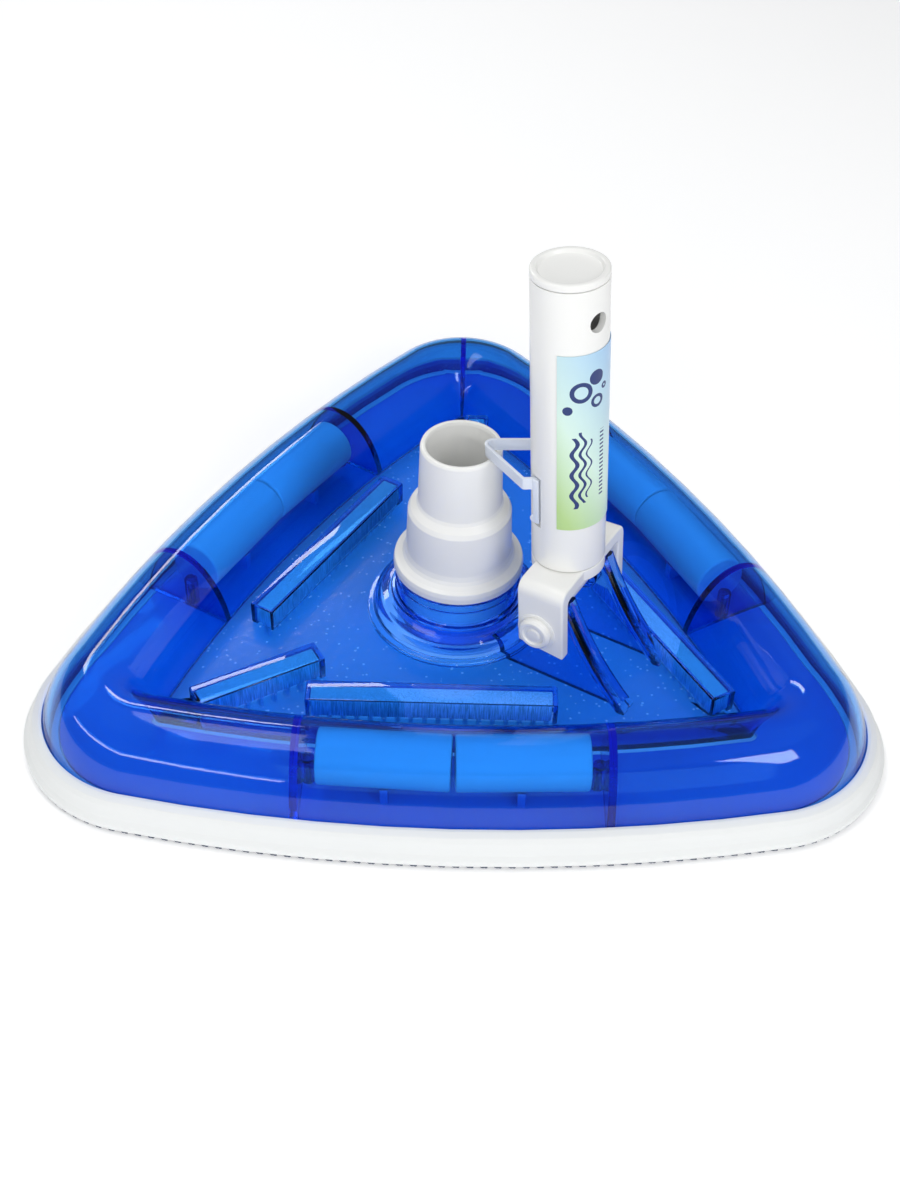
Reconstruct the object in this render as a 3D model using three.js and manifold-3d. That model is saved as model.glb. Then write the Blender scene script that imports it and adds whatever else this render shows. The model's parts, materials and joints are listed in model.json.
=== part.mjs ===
// Manual vacuum head for a swimming pool: a clear triangular shell with a rounded ridge around its
// edge, weights inside the ridge on a ring-shaped base cover, a soft bumper with a brush below it, a
// swivelling hose cuff in the middle and a tilting pole handle. Millimetres, +Z up. The design is laid out around the axis of
// the hose port, with +X towards the corner that carries the handle. The whole group is then moved
// so that its origin is the centre of the base, on the floor.
import * as THREE from "three";
import { mergeVertices } from "three/addons/utils/BufferGeometryUtils.js";
import Module from "manifold-3d";

const wasm = await Module();
wasm.setup();

// ---------------------------------------------------------------- driving dimensions
const GAP = 0.35; // between pieces that touch or lie against each other
const RUNNING_GAP = 0.45; // between pieces that turn on each other

// plan of the shell: three round corners joined by three bowed sides
const CORNER_REACH = 130.5; // port axis to the centre of each corner's arc
const CORNER_RADIUS = 47;
const SIDE_BOW_RADIUS = 610;

// section of the ridge: half an ellipse that stands on the floor line
const RIDGE_HALF_WIDTH = 23.6;
const RIDGE_HEIGHT = 36.6;
const SHELL_WALL = 2.5;
const SHELL_FOOT = 5; // lowest edge of the outer wall
const PLATE_TOP = 10;
const PLATE_THICKNESS = 2.5;

// weights and their chambers
const WEIGHT_RADIUS = 10.6;
const WEIGHT_LENGTH = 49.4;
const WEIGHT_OFFSET = 1.9; // weight axis inward from the middle of the ridge
const WEIGHT_ROOM = 1.3; // clear height between a weight and the roof of the ridge
const CHAMBER_HALF = 56; // middle of the side to the inner face of a bulkhead
const BULKHEAD_THICKNESS = 3;
const CORNER_RIB_THICKNESS = 2.4;
const RIBBED_CORNER = 1; // the corner between the left and the rear side has a rib across its ridge
const SCREW_BOSS_RADIUS = 2.7;
const SCREW_PILOT_RADIUS = 1.5;
const SCREW_PILOT_DEPTH = 11;
const SCREW_SHANK_RADIUS = 1.1;
const SCREW_HEAD_RADIUS = 2.7;
const SCREW_HEAD_HEIGHT = 1.3;
const COVER_THICKNESS = 2.4; // of the ring that closes the ridge from below
const COVER_LAP = 2; // how far that ring reaches under the plate
const SADDLE_THICKNESS = 3;
const WEIGHT_CHAMFER = 1;

// brush pockets on the plate and the brush strips in them
const POCKET_WIDTH = 11;
const POCKET_WALL = 1.7;
const POCKET_TOP = 20;
const POCKET_LINE = 61; // port axis to the middle of a side pocket
const STRIP_CLEARANCE = 0.4;
const STRIP_BLOCK_HEIGHT = 8;
const BRISTLE_WIDTH = 4;
const BRISTLE_TIP_Z = 0.8;

// bumper around the foot of the shell, and the brush ring under it
const BUMPER_OVERHANG = 6.8;
const BUMPER_TOP = 13.5;
const BUMPER_BOTTOM = 1.9;
const BUMPER_INNER_LIP = 6.6; // inward from the outline
const BUMPER_EDGE_TOP = 4.6; // top of the upright outer edge
const BUMPER_EDGE_CHAMFER = 0.4;
const BUMPER_SHOULDER_OUT = 5.3; // where the face starts to lean in, outward from the outline
const BUMPER_SHOULDER_Z = 6.2;
const BUMPER_CREST_OUT = 3.5; // where the face turns over to the top
const BUMPER_CREST_Z = 11;
const BUMPER_BROW_OUT = 2.5;
const BUMPER_BROW_Z = 12.3;
const BUMPER_WAIST_Z = 9; // one more height at which the inside follows the ridge
const RING_BRUSH_WIDTH = 1.9;
const RING_BRUSH_EDGE = 1.2; // bumper outside the brush ring
const RING_BRUSH_TOP = 3.5;

// collar for the hose cuff
const COLLAR_NECK_WALL = 3.45;
const COLLAR_LEDGE_WIDTH = 3.3; // each step of the collar outside the one above it
const COLLAR_DOME_WIDTH = 6.2;
const COLLAR_FOOT_WIDTH = 2.5;
const COLLAR_FOOT_HEIGHT = 2.1;
const COLLAR_LEDGE_Z = 20.2;
const COLLAR_TOP = 32;
const COLLAR_WALL = 2.6;
const COLLAR_EDGE = 0.6; // small steps and bevels of the collar

// swivelling hose cuff
const CUFF_TOP = 93.8;
const CUFF_TOP_RADIUS = 15.875;
const CUFF_DRAFT = 0.8; // how much wider a step is at its foot
const CUFF_WALL = 2.3;
const CUFF_STEP_Z = 66;
const CUFF_LOWER_RADIUS = 20.6;
const CUFF_FLANGE_LAP = 1; // how far the flange stands out over the collar's neck
const CUFF_FLANGE_TOP = 39;
const CUFF_FLANGE_BOTTOM = 33.7;
const CUFF_FOOT_Z = 4.3;
const CUFF_GROOVE_DEPTH = 1;
const RETAINER_LAP = 4.15; // how far the retainer reaches under the collar
const RETAINER_THICKNESS = 1.6;

// fins that carry the handle, and its pivot
const FIN_PITCH = 15.8; // middle plane of the object to the middle of a fin
const FIN_THICKNESS = 2.6;
const FIN_FLANGE_WIDTH = 9;
const FIN_FLANGE_THICKNESS = 3.4;
const FIN_REACH = 87; // port axis to the tip of a fin
const FIN_HEAD_RISE = 11; // pivot to the top of a fin
const FIN_HEAD_FRONT = 7.5; // pivot to the corner side of that top
const FIN_HEAD_BACK = 10; // pivot to the port side of the head
const FIN_SWEEP_X = 14; // control point of the sloping edge, from the pivot
const FIN_SWEEP_Z = -8;
const FIN_BOSS_WALL = 3;
const PIVOT_X = 50;
const PIVOT_Z = 41;
const PIVOT_PIN_RADIUS = 3;
const PIN_HEAD_RADIUS = 6.6;
const PIN_HEAD_HEIGHT = 2.8;

// handle: yoke, tube, cap, label and clip. Lengths run along the tube from the pivot axis
const HANDLE_LEAN = THREE.MathUtils.degToRad(4); // towards the port, as the head is stored
const EAR_THICKNESS = 5;
const EAR_REAR = 8.2; // behind the pivot, on the port side
const EAR_FRONT = 11.2;
const EAR_DROP_REAR = 7.4;
const EAR_DROP_FRONT = 10.8;
const BRIDGE_UNDERSIDE = 15.4;
const BRIDGE_TOP = 21.6;
const SHOULDER_RADIUS = 5.5;
const TUBE_RADIUS = 14.1;
const TUBE_TAPER = 0.25; // less radius at the upper end
const TUBE_WALL = 2.6;
const TUBE_LENGTH = 119;
const SPIGOT_LENGTH = 13;
const CAP_FLANGE_HEIGHT = 2.6;
const CAP_RIM = 2.85;
const CAP_DISH_DEPTH = 1.3;
const CAP_PLUG_LENGTH = 9;
const LOCK_HOLE_RADIUS = 3.75;
const LOCK_HOLE_FROM_TOP = 13.2;
const LOCK_HOLE_ANGLE = THREE.MathUtils.degToRad(-17);
const LABEL_START = THREE.MathUtils.degToRad(-82);
const LABEL_SWEEP = THREE.MathUtils.degToRad(144);
const LABEL_BOTTOM = 42.5;
const LABEL_HEIGHT = 74.5;
const LABEL_THICKNESS = 0.25;
const LABEL_GAP = 0.12;
const CLIP_REACH = 36.8; // tube axis to the outer face of the clip's bow
const CLIP_TOP = 61;
const CLIP_DEPTH = 4.8;
const CLIP_BAR = 2.3;
const CLIP_BOW_RADIUS = 3.2;
const CLIP_KNUCKLE_X = 11.4; // tube axis to the knuckles, towards the port
const CLIP_KNUCKLE_STAND = 0.5; // the knuckles sit this far outside the tube's radius
const CLIP_LEG_DROP = 20;
const CLIP_SLOT_SIDE = 0.6; // slot beyond the leg on each side

// facets: along the outline's arcs, across the ridge, and around a full turn
const CORNER_FACETS = 10;
const SIDE_FACETS = 6;
const RIDGE_FACETS = 10;
const ROUND_FINE = 36;
const ROUND = 24;
const ROUND_SMALL = 12;

// ---------------------------------------------------------------- sizes worked out from those
const SIDE_ANGLES = [60, 180, 300].map(THREE.MathUtils.degToRad);
const CORNER_ANGLES = [0, 120, 240].map(THREE.MathUtils.degToRad);
const THIRDS = [0, 1, 2]; // the corner and the side of each third of the plan
const SIDE_HALF_CHORD = CORNER_REACH * Math.sin(Math.PI / 3);
const BOW_SWING = SIDE_BOW_RADIUS - CORNER_RADIUS;
const SIDE_HALF_ANGLE = Math.asin(SIDE_HALF_CHORD / BOW_SWING);
const BOW_CENTRE = BOW_SWING * Math.cos(SIDE_HALF_ANGLE) - CORNER_REACH / 2;
const APOTHEM = SIDE_BOW_RADIUS - BOW_CENTRE; // port axis to the middle of a side
const PLATE_BOTTOM = PLATE_TOP - PLATE_THICKNESS;
const BASE_FRONT = CORNER_REACH + CORNER_RADIUS + BUMPER_OVERHANG;
const BASE_REAR = APOTHEM + BUMPER_OVERHANG;
const BASE_CENTRE_X = (BASE_FRONT - BASE_REAR) / 2;
const COLLAR_BORE = CUFF_LOWER_RADIUS + CUFF_DRAFT + RUNNING_GAP;
const COLLAR_NECK_RADIUS = COLLAR_BORE + COLLAR_NECK_WALL;
const COLLAR_LEDGE_RADIUS = COLLAR_NECK_RADIUS + COLLAR_LEDGE_WIDTH;
const COLLAR_DOME_RADIUS = COLLAR_LEDGE_RADIUS + COLLAR_DOME_WIDTH;
const COLLAR_FOOT_RADIUS = COLLAR_DOME_RADIUS + COLLAR_FOOT_WIDTH;
const CUFF_FLANGE_RADIUS = COLLAR_NECK_RADIUS + CUFF_FLANGE_LAP;
const RETAINER_RADIUS = COLLAR_BORE + RETAINER_LAP;
const COVER_TOP = PLATE_BOTTOM - GAP;
const COVER_FOOT = COVER_TOP - COVER_THICKNESS;
const ROOT_Z = PLATE_BOTTOM + 0.4 * PLATE_THICKNESS; // what stands on the plate starts inside it
const INNER_WALL_FOOT = PLATE_BOTTOM + 0.2; // of the walls and bosses inside the ridge
const FIN_TOP = PIVOT_Z + FIN_HEAD_RISE;
// the two weights of a side follow its bow, so their inner ends meet at an angle
const WEIGHT_INSET = RIDGE_HALF_WIDTH + WEIGHT_OFFSET;
const WEIGHT_AXIS_Z = RIDGE_HEIGHT - SHELL_WALL - WEIGHT_ROOM - WEIGHT_RADIUS;
const WEIGHT_KINK = WEIGHT_RADIUS * (WEIGHT_LENGTH / 2 / (SIDE_BOW_RADIUS - WEIGHT_INSET));
const WEIGHT_MIDDLE = WEIGHT_LENGTH / 2 + WEIGHT_KINK + GAP / 2;
const SCREW_ALONG = CHAMBER_HALF - 0.75 * SCREW_BOSS_RADIUS; // the boss runs into its bulkhead
const EAR_INNER = FIN_PITCH + FIN_FLANGE_WIDTH / 2 + RUNNING_GAP;
const EAR_OUTER = EAR_INNER + EAR_THICKNESS;
const TUBE_TOP_RADIUS = TUBE_RADIUS - TUBE_TAPER;
const CAP_DISH_RADIUS = TUBE_TOP_RADIUS - CAP_RIM;
const CLIP_KNUCKLE_Y = TUBE_RADIUS + CLIP_KNUCKLE_STAND;
const TUBE_FOOT = BRIDGE_TOP + GAP;
const TUBE_TOP = TUBE_FOOT + TUBE_LENGTH;

// ---------------------------------------------------------------- solids and meshes
function solidOf(geometry) {
  const bare = geometry.clone();
  bare.deleteAttribute("normal");
  bare.deleteAttribute("uv");
  const merged = mergeVertices(bare, 1e-4);
  return new wasm.Manifold(
    new wasm.Mesh({
      numProp: 3,
      vertProperties: merged.attributes.position.array,
      triVerts: new Uint32Array(merged.index.array),
    }),
  );
}

function geometryOf(solid) {
  const mesh = solid.getMesh();
  const geometry = new THREE.BufferGeometry();
  geometry.setAttribute("position", new THREE.BufferAttribute(mesh.vertProperties, 3));
  geometry.setIndex(new THREE.BufferAttribute(mesh.triVerts, 1));
  geometry.computeVertexNormals();
  return geometry;
}

const union = (...solids) => solids.reduce((whole, piece) => whole.add(piece));

// A closed solid through a stack of rings that have equal numbers of points. Each ring is
// counter-clockwise seen from above. The stack climbs from the first ring to the last, and is
// closed by a flat face at each end, or onto itself.
function loft(rings, closedOnItself = false) {
  const count = rings[0].length;
  const positions = rings.flat().flatMap((p) => [p.x, p.y, p.z]);
  const index = [];
  const levels = closedOnItself ? rings.length : rings.length - 1;
  for (let level = 0; level < levels; level += 1) {
    const low = level * count;
    const high = ((level + 1) % rings.length) * count;
    for (let i = 0; i < count; i += 1) {
      const next = (i + 1) % count;
      index.push(low + i, low + next, high + next);
      index.push(low + i, high + next, high + i);
    }
  }
  if (!closedOnItself) {
    const flat = (ring) => ring.map((p) => new THREE.Vector2(p.x, p.y));
    const last = (rings.length - 1) * count;
    for (const [a, b, c] of THREE.ShapeUtils.triangulateShape(flat(rings[0]), [])) {
      index.push(a, c, b);
    }
    for (const [a, b, c] of THREE.ShapeUtils.triangulateShape(flat(rings.at(-1)), [])) {
      index.push(last + a, last + b, last + c);
    }
  }
  const geometry = new THREE.BufferGeometry();
  geometry.setAttribute("position", new THREE.Float32BufferAttribute(positions, 3));
  geometry.setIndex(index);
  return solidOf(geometry);
}

// A body of revolution about Z. The profile is a list of [radius, z] that climbs on its outside.
function turned(profile, facets = ROUND) {
  const points = profile.map(([r, z]) => new THREE.Vector2(r, z));
  return solidOf(new THREE.LatheGeometry(points, facets).rotateX(Math.PI / 2));
}

function box(x0, x1, y0, y1, z0, z1) {
  const geometry = new THREE.BoxGeometry(x1 - x0, y1 - y0, z1 - z0);
  return solidOf(geometry.translate((x0 + x1) / 2, (y0 + y1) / 2, (z0 + z1) / 2));
}

// A cylinder along "x", "y" or "z", centred on a point.
function rod(axis, radius, length, x, y, z, facets = ROUND_SMALL) {
  const geometry = new THREE.CylinderGeometry(radius, radius, length, facets);
  if (axis === "x") geometry.rotateZ(Math.PI / 2);
  if (axis === "z") geometry.rotateX(Math.PI / 2);
  return solidOf(geometry.translate(x, y, z));
}

// A plate whose outline lies in the XZ plane, of a given thickness along Y.
function sidePlate(outline, thickness, y, segments = 8) {
  const options = { depth: thickness, bevelEnabled: false, curveSegments: segments };
  const geometry = new THREE.ExtrudeGeometry(outline, options);
  return solidOf(geometry.rotateX(Math.PI / 2).translate(0, y + thickness / 2, 0));
}

// ---------------------------------------------------------------- the outline and its sides
// The outline moved inward by an inset, as one ring of points at a height.
function outlineRing(inset, z) {
  const ring = [];
  const arc = (cx, cy, radius, from, to, steps) => {
    for (let i = 0; i < steps; i += 1) {
      const angle = from + ((to - from) * i) / steps;
      ring.push(
        new THREE.Vector3(cx + radius * Math.cos(angle), cy + radius * Math.sin(angle), z),
      );
    }
  };
  CORNER_ANGLES.forEach((corner, k) => {
    const before = SIDE_ANGLES[(k + 2) % 3] - (k === 0 ? 2 * Math.PI : 0) + SIDE_HALF_ANGLE;
    const after = SIDE_ANGLES[k] - SIDE_HALF_ANGLE;
    const cx = CORNER_REACH * Math.cos(corner);
    const cy = CORNER_REACH * Math.sin(corner);
    arc(cx, cy, CORNER_RADIUS - inset, before, after, CORNER_FACETS);
    const sx = -BOW_CENTRE * Math.cos(SIDE_ANGLES[k]);
    const sy = -BOW_CENTRE * Math.sin(SIDE_ANGLES[k]);
    arc(sx, sy, SIDE_BOW_RADIUS - inset, after, after + 2 * SIDE_HALF_ANGLE, SIDE_FACETS);
  });
  return ring;
}

// Moves a solid that was made about the X axis, with +X as the outward normal, onto side k.
const ontoSide = (solid, k) => solid.rotate([0, 0, THREE.MathUtils.radToDeg(SIDE_ANGLES[k])]);
const ontoCorner = (solid, k) => solid.rotate([0, 0, THREE.MathUtils.radToDeg(CORNER_ANGLES[k])]);

// Outward place, at a distance along a side, of a line that runs a given inset inside the outline.
function bowedLine(inset, along) {
  const radius = SIDE_BOW_RADIUS - inset;
  return Math.sqrt(radius * radius - along * along) - BOW_CENTRE;
}

// ---------------------------------------------------------------- shell
// The ridge section from the foot of the outer wall, over the top, to the level of the plate.
function ridgeRings(halfWidth, height, footZ, plateZ, steps) {
  const start = Math.asin(footZ / height);
  const end = Math.PI - Math.asin(plateZ / height);
  const rings = [];
  for (let i = 0; i <= steps; i += 1) {
    const turn = start + ((end - start) * i) / steps;
    const inset = RIDGE_HALF_WIDTH - halfWidth * Math.cos(turn);
    rings.push(outlineRing(inset, height * Math.sin(turn)));
  }
  return rings;
}

function ridgeCavity() {
  const halfWidth = RIDGE_HALF_WIDTH - SHELL_WALL;
  const height = RIDGE_HEIGHT - SHELL_WALL;
  return loft(ridgeRings(halfWidth, height, SHELL_FOOT - 1, PLATE_BOTTOM, RIDGE_FACETS));
}

function collarSolid() {
  const dome = new THREE.Path();
  const domeFoot = PLATE_TOP + COLLAR_FOOT_HEIGHT;
  const domeStart = domeFoot + COLLAR_EDGE;
  dome.absellipse(
    COLLAR_LEDGE_RADIUS, domeStart,
    COLLAR_DOME_RADIUS - COLLAR_LEDGE_RADIUS, COLLAR_LEDGE_Z - domeStart,
    0, Math.PI / 2, false, 0,
  );
  return turned([
    [0, ROOT_Z],
    [COLLAR_FOOT_RADIUS, ROOT_Z],
    [COLLAR_FOOT_RADIUS, domeFoot - COLLAR_EDGE],
    [COLLAR_FOOT_RADIUS - COLLAR_EDGE, domeFoot],
    ...dome.getPoints(6).map((p) => [p.x, p.y]),
    [COLLAR_LEDGE_RADIUS - 2 * COLLAR_EDGE, COLLAR_LEDGE_Z],
    [COLLAR_LEDGE_RADIUS - 3 * COLLAR_EDGE, COLLAR_LEDGE_Z + 2 * COLLAR_EDGE],
    [COLLAR_NECK_RADIUS + COLLAR_EDGE, COLLAR_LEDGE_Z + 2.5 * COLLAR_EDGE],
    [COLLAR_NECK_RADIUS, COLLAR_LEDGE_Z + 3.5 * COLLAR_EDGE],
    [COLLAR_NECK_RADIUS, COLLAR_TOP - COLLAR_EDGE],
    [COLLAR_NECK_RADIUS - COLLAR_EDGE, COLLAR_TOP],
    [0, COLLAR_TOP],
  ], ROUND_FINE);
}

// Ring-shaped hollow under the dome of the collar, so that its wall is even.
function collarHollow() {
  const inner = COLLAR_BORE + COLLAR_WALL;
  const outer = COLLAR_DOME_RADIUS - COLLAR_WALL;
  const roof = COLLAR_LEDGE_Z - COLLAR_WALL;
  return turned([
    [inner, PLATE_BOTTOM - 1],
    [outer, PLATE_BOTTOM - 1],
    [outer, PLATE_TOP + COLLAR_FOOT_HEIGHT],
    [outer - 1.6, roof - 1.6],
    [outer - 4, roof],
    [inner, roof],
    [inner, PLATE_BOTTOM - 1],
  ], ROUND_FINE);
}

// Pockets stand on the plate. A pocket is laid out with the X and Y axes turned about the port by a
// number of degrees: its line crosses the turned X axis at outward, and runs along the turned Y axis
// between two places.
const POCKETS = [
  { name: "brush_strip_left", turn: 60, outward: POCKET_LINE, from: -101, to: -8 },
  { name: "brush_strip_rear", turn: 180, outward: POCKET_LINE, from: -44, to: 52 },
  { name: "brush_strip_right", turn: 300, outward: POCKET_LINE, from: -56, to: 38 },
  { name: "brush_strip_corner_left", turn: 30, outward: 7, from: 68, to: 118 },
  { name: "brush_strip_corner_right", turn: 330, outward: 7, from: -118, to: -68 },
];

// A box along a pocket's line: half a width each side of it, and a margin beyond each end.
function pocketBox(pocket, width, endMargin, z0, z1) {
  const { turn, outward, from, to } = pocket;
  return box(
    outward - width / 2, outward + width / 2, from - endMargin, to + endMargin, z0, z1,
  ).rotate([0, 0, turn]);
}

function finOutline() {
  const outline = new THREE.Shape();
  const back = PIVOT_X - FIN_HEAD_BACK;
  const inCollar = COLLAR_NECK_RADIUS - 1;
  outline.moveTo(FIN_REACH, ROOT_Z);
  outline.lineTo(FIN_REACH, PLATE_TOP + 0.6);
  outline.quadraticCurveTo(
    PIVOT_X + FIN_SWEEP_X, PIVOT_Z + FIN_SWEEP_Z, PIVOT_X + FIN_HEAD_FRONT, FIN_TOP,
  );
  outline.lineTo(PIVOT_X - 1, FIN_TOP);
  outline.quadraticCurveTo(back + 1, FIN_TOP - 2, back, PIVOT_Z - 3);
  outline.lineTo(inCollar, COLLAR_LEDGE_Z - 3);
  outline.lineTo(inCollar, ROOT_Z);
  return outline;
}

// The rounded flange that runs down the sloping edge of a fin.
function finFlange() {
  const path = new THREE.QuadraticBezierCurve3(
    new THREE.Vector3(FIN_REACH - 0.4, 0, PLATE_TOP - 0.8),
    new THREE.Vector3(PIVOT_X + FIN_SWEEP_X, 0, PIVOT_Z + FIN_SWEEP_Z),
    new THREE.Vector3(PIVOT_X + FIN_HEAD_FRONT, 0, FIN_TOP - 0.6),
  );
  const section = new THREE.Shape();
  section.absellipse(
    0, 0, FIN_FLANGE_WIDTH / 2, FIN_FLANGE_THICKNESS / 2, 0, 2 * Math.PI, false, 0,
  );
  const options = { steps: 12, extrudePath: path, curveSegments: 8 };
  return solidOf(new THREE.ExtrudeGeometry(section, options));
}

function finSolid(y) {
  const web = sidePlate(finOutline(), FIN_THICKNESS, y);
  const flange = finFlange().translate([0, y, 0]);
  const bossRadius = PIVOT_PIN_RADIUS + FIN_BOSS_WALL;
  const boss = rod("y", bossRadius, FIN_FLANGE_WIDTH, PIVOT_X, y, PIVOT_Z, ROUND);
  return union(web, flange, boss);
}

function shellSolid() {
  const outerSkin = loft(
    ridgeRings(RIDGE_HALF_WIDTH, RIDGE_HEIGHT, SHELL_FOOT, PLATE_TOP, RIDGE_FACETS),
  );

  // what stands inside the ridge is left out of the cavity, so it stays solid in the shell
  let cavity = ridgeCavity();
  for (const k of THIRDS) {
    for (const sign of [-1, 1]) {
      const face = sign * (CHAMBER_HALF + BULKHEAD_THICKNESS / 2);
      const half = BULKHEAD_THICKNESS / 2;
      const wall = box(
        APOTHEM - 2 * RIDGE_HALF_WIDTH - 8, APOTHEM, face - half, face + half,
        INNER_WALL_FOOT, RIDGE_HEIGHT,
      );
      cavity = cavity.subtract(ontoSide(wall, k));
      const along = sign * SCREW_ALONG;
      const x = bowedLine(WEIGHT_INSET, along);
      const height = RIDGE_HEIGHT - INNER_WALL_FOOT;
      const middle = INNER_WALL_FOOT + height / 2;
      const boss = rod("z", SCREW_BOSS_RADIUS, height, x, along, middle);
      cavity = cavity.subtract(ontoSide(boss, k));
    }
  }
  const halfRib = CORNER_RIB_THICKNESS / 2;
  const far = CORNER_REACH + CORNER_RADIUS;
  const rib = box(CORNER_REACH - 4, far, -halfRib, halfRib, INNER_WALL_FOOT, RIDGE_HEIGHT);
  cavity = cavity.subtract(ontoCorner(rib, RIBBED_CORNER));
  let shell = outerSkin.subtract(cavity).add(collarSolid());

  for (const pocket of POCKETS) {
    shell = shell.add(pocketBox(pocket, POCKET_WIDTH, POCKET_WALL, ROOT_Z, POCKET_TOP));
  }
  shell = shell.add(finSolid(-FIN_PITCH)).add(finSolid(FIN_PITCH));

  for (const pocket of POCKETS) {
    const width = POCKET_WIDTH - 2 * POCKET_WALL;
    const roof = POCKET_TOP - POCKET_WALL;
    shell = shell.subtract(pocketBox(pocket, width, 0, PLATE_BOTTOM - 1, roof));
  }
  for (const k of THIRDS) {
    for (const sign of [-1, 1]) {
      const along = sign * SCREW_ALONG;
      const x = bowedLine(WEIGHT_INSET, along);
      const pilot = rod(
        "z", SCREW_PILOT_RADIUS, 2 * SCREW_PILOT_DEPTH, x, along, PLATE_BOTTOM,
      );
      shell = shell.subtract(ontoSide(pilot, k));
    }
  }
  shell = shell.subtract(rod("z", COLLAR_BORE, 3 * COLLAR_TOP, 0, 0, 0, ROUND_FINE));
  shell = shell.subtract(collarHollow());
  const pinHole = PIVOT_PIN_RADIUS + RUNNING_GAP;
  return shell.subtract(rod("y", pinHole, 4 * FIN_PITCH, PIVOT_X, 0, PIVOT_Z));
}

// ---------------------------------------------------------------- bumper and brushes
function bumperSolid() {
  const wallOutside = (z) => {
    const turn = Math.asin(z / RIDGE_HEIGHT);
    return GAP - RIDGE_HALF_WIDTH * (1 - Math.cos(turn));
  };
  const brushOuter = BUMPER_OVERHANG - RING_BRUSH_EDGE;
  const brushInner = brushOuter - RING_BRUSH_WIDTH - 2 * GAP;
  const grooveFloor = SHELL_FOOT - GAP;
  const innerFace = -(SHELL_WALL + 3 * GAP);
  const flangeTop = PLATE_BOTTOM - GAP;
  // [outward from the outline, z], counter-clockwise from the foot of the inner flange
  const section = [
    [-BUMPER_INNER_LIP, BUMPER_BOTTOM],
    [brushInner, BUMPER_BOTTOM],
    [brushInner, RING_BRUSH_TOP + GAP],
    [brushOuter, RING_BRUSH_TOP + GAP],
    [brushOuter, BUMPER_BOTTOM],
    [BUMPER_OVERHANG - BUMPER_EDGE_CHAMFER, BUMPER_BOTTOM],
    [BUMPER_OVERHANG, BUMPER_BOTTOM + BUMPER_EDGE_CHAMFER],
    [BUMPER_OVERHANG, BUMPER_EDGE_TOP],
    [BUMPER_SHOULDER_OUT, BUMPER_SHOULDER_Z],
    [BUMPER_CREST_OUT, BUMPER_CREST_Z],
    [BUMPER_BROW_OUT, BUMPER_BROW_Z],
    [0, BUMPER_TOP],
    [wallOutside(BUMPER_TOP), BUMPER_TOP],
    [wallOutside(BUMPER_WAIST_Z), BUMPER_WAIST_Z],
    [wallOutside(SHELL_FOOT), grooveFloor],
    [innerFace, grooveFloor],
    [innerFace, flangeTop],
    [-BUMPER_INNER_LIP, flangeTop],
  ];
  return loft(section.map(([outward, z]) => outlineRing(-outward, z)), true);
}

function ringBrushSolid() {
  const outer = BUMPER_OVERHANG - RING_BRUSH_EDGE - GAP;
  const inner = outer - RING_BRUSH_WIDTH;
  const corners = [[inner, 0], [outer, 0], [outer, RING_BRUSH_TOP], [inner, RING_BRUSH_TOP]];
  return loft(corners.map(([outward, z]) => outlineRing(-outward, z)), true);
}

function brushStripSolid(pocket) {
  const blockWidth = POCKET_WIDTH - 2 * POCKET_WALL - 2 * STRIP_CLEARANCE;
  const blockTop = POCKET_TOP - POCKET_WALL - STRIP_CLEARANCE;
  const blockFoot = blockTop - STRIP_BLOCK_HEIGHT;
  const block = pocketBox(pocket, blockWidth, -STRIP_CLEARANCE, blockFoot, blockTop);
  const tufts = pocketBox(pocket, BRISTLE_WIDTH, -2, BRISTLE_TIP_Z, blockTop - 1);
  return block.add(tufts);
}

// ---------------------------------------------------------------- weights and the base cover
// One weight: the sign says which half of the side it lies in.
function weightSolid(k, sign) {
  const end = WEIGHT_LENGTH / 2;
  const bar = turned([
    [0, -end],
    [WEIGHT_RADIUS - WEIGHT_CHAMFER, -end],
    [WEIGHT_RADIUS, WEIGHT_CHAMFER - end],
    [WEIGHT_RADIUS, end - WEIGHT_CHAMFER],
    [WEIGHT_RADIUS - WEIGHT_CHAMFER, end],
    [0, end],
  ]);
  const along = sign * WEIGHT_MIDDLE;
  const tilt = THREE.MathUtils.radToDeg(Math.asin(along / (SIDE_BOW_RADIUS - WEIGHT_INSET)));
  const placed = bar
    .rotate([90, 0, tilt])
    .translate([bowedLine(WEIGHT_INSET, along), along, WEIGHT_AXIS_Z]);
  return ontoSide(placed, k);
}

// A saddle that stands on the base cover and cradles the middle of one weight.
function saddleSolid(k, sign) {
  const along = sign * WEIGHT_MIDDLE;
  const x = bowedLine(WEIGHT_INSET, along);
  const width = 0.8 * WEIGHT_RADIUS;
  const half = SADDLE_THICKNESS / 2;
  const block = box(
    x - width, x + width, along - half, along + half,
    COVER_TOP - COVER_THICKNESS / 4, WEIGHT_AXIS_Z - 0.6 * WEIGHT_RADIUS,
  );
  const seat = rod("y", WEIGHT_RADIUS + 2 * GAP, 10, x, along, WEIGHT_AXIS_Z, ROUND);
  return ontoSide(block.subtract(seat), k);
}

// The ring that closes the ridge from below, all the way round, and carries the weights.
function baseCoverSolid() {
  const outer = BUMPER_INNER_LIP + GAP;
  const inner = 2 * RIDGE_HALF_WIDTH - SHELL_WALL - COVER_LAP;
  let cover = loft([
    outlineRing(outer, COVER_FOOT),
    outlineRing(outer, COVER_TOP),
    outlineRing(inner, COVER_TOP),
    outlineRing(inner, COVER_FOOT),
  ], true);
  for (const k of THIRDS) {
    for (const sign of [-1, 1]) {
      const along = sign * SCREW_ALONG;
      const x = bowedLine(WEIGHT_INSET, along);
      const hole = rod("z", SCREW_PILOT_RADIUS, 4 * COVER_THICKNESS, x, along, COVER_FOOT);
      cover = cover.add(saddleSolid(k, sign)).subtract(ontoSide(hole, k));
    }
  }
  return cover;
}

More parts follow.
